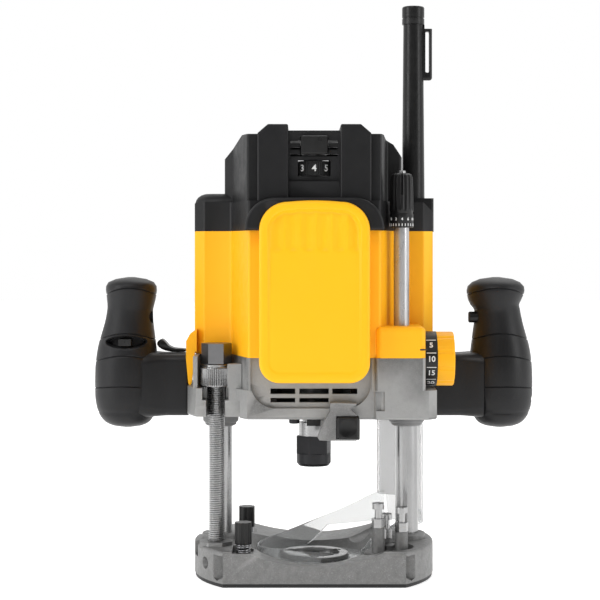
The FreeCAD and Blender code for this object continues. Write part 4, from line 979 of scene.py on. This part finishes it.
# --- stage, light and camera ------------------------------------------------------------------
def plain_material(name, colour, rough):
    """A pale sweep that glows a little, as an evenly lit studio floor does."""
    n = Nodes(name)
    n.set(Base_Color=colour + (1.0,), Emission_Color=(1.0, 1.0, 1.0, 1.0), Emission_Strength=0.5)
    n.link(n.remap(n.noise(3.0, 2.0), 0.3, 0.7, rough - 0.05, rough + 0.05), n.shader.inputs["Roughness"])
    return n.material


def make_floor():
    mesh = bpy.data.meshes.new("floor")
    bm = bmesh.new()
    bmesh.ops.create_grid(bm, x_segments=8, y_segments=8, size=6.0)
    bm.to_mesh(mesh)
    bm.free()
    floor = bpy.data.objects.new("floor", mesh)
    bpy.context.scene.collection.objects.link(floor)
    floor.location.z = -0.0002
    mesh.materials.append(plain_material("pale_floor", (0.93, 0.93, 0.93), 0.7))


def area_light(name, place, target, size, power):
    data = bpy.data.lights.new(name, "AREA")
    data.shape = "RECTANGLE"
    data.size, data.size_y = size
    data.energy = power
    light = bpy.data.objects.new(name, data)
    light.location = place
    light.rotation_euler = (Vector(target) - Vector(place)).to_track_quat("-Z", "Y").to_euler()
    bpy.context.scene.collection.objects.link(light)


def make_studio():
    """A white room behind and beside the object, dark behind the camera, with softboxes at both sides."""
    scene = bpy.context.scene
    scene.view_settings.view_transform = "Standard"
    world = bpy.data.worlds.new("studio")
    world.use_nodes = True
    tree = world.node_tree
    background = tree.nodes["Background"]
    place = tree.nodes.new("ShaderNodeTexCoord")
    split = tree.nodes.new("ShaderNodeSeparateXYZ")
    ramp = tree.nodes.new("ShaderNodeValToRGB")
    tree.links.new(place.outputs["Generated"], split.inputs["Vector"])
    depth = tree.nodes.new("ShaderNodeMapRange")
    for name, value in (("From Min", -1.0), ("From Max", 1.0), ("To Min", 0.0), ("To Max", 1.0)):
        depth.inputs[name].default_value = value
    tree.links.new(split.outputs["Y"], depth.inputs["Value"])
    tree.links.new(depth.outputs["Result"], ramp.inputs["Fac"])
    tree.links.new(ramp.outputs["Color"], background.inputs["Color"])
    stops = ramp.color_ramp.elements
    stops[0].position, stops[0].color = 0.0, (0.10, 0.10, 0.10, 1.0)
    stops[1].position, stops[1].color = 0.62, (1.0, 1.0, 1.0, 1.0)
    middle = stops.new(0.26)
    middle.color = (0.22, 0.22, 0.22, 1.0)
    background.inputs["Strength"].default_value = 1.0
    scene.world = world
    aim = (0, 0, 0.2)
    area_light("left_box", (-1.5, -0.75, 0.75), aim, (0.7, 1.3), 12)
    area_light("right_box", (1.6, -0.8, 0.75), aim, (0.6, 1.3), 10)
    area_light("key", (-0.5, -1.5, 1.9), aim, (0.9, 0.7), 14)
    area_light("rim", (0.5, 1.2, 1.9), aim, (1.4, 0.8), 7)


def make_camera():
    data = bpy.data.cameras.new("camera")
    data.lens = LENS
    data.sensor_width = 36.0
    data.clip_start, data.clip_end = 0.05, 30.0
    camera = bpy.data.objects.new("camera", data)
    camera.location = (EYE_X, -FRONT_VIEW_DISTANCE, EYE_Z)
    data.shift_y = FRAMING_SHIFT
    camera.rotation_euler = (math.radians(90), 0, 0)
    bpy.context.scene.collection.objects.link(camera)
    bpy.context.scene.camera = camera


make_camera()
make_studio()
make_floor()
dress_cad_nodes()
make_handles()
make_front_cover()
make_threaded_rod()
make_shroud()
make_stop_nut()
make_bracket()
make_seals()
make_screw_under_casting()
make_left_tier()
make_lever()
make_fine_adjuster()
make_clamp_springs()
make_plunge_springs()
open_casting_fork()
make_marks()
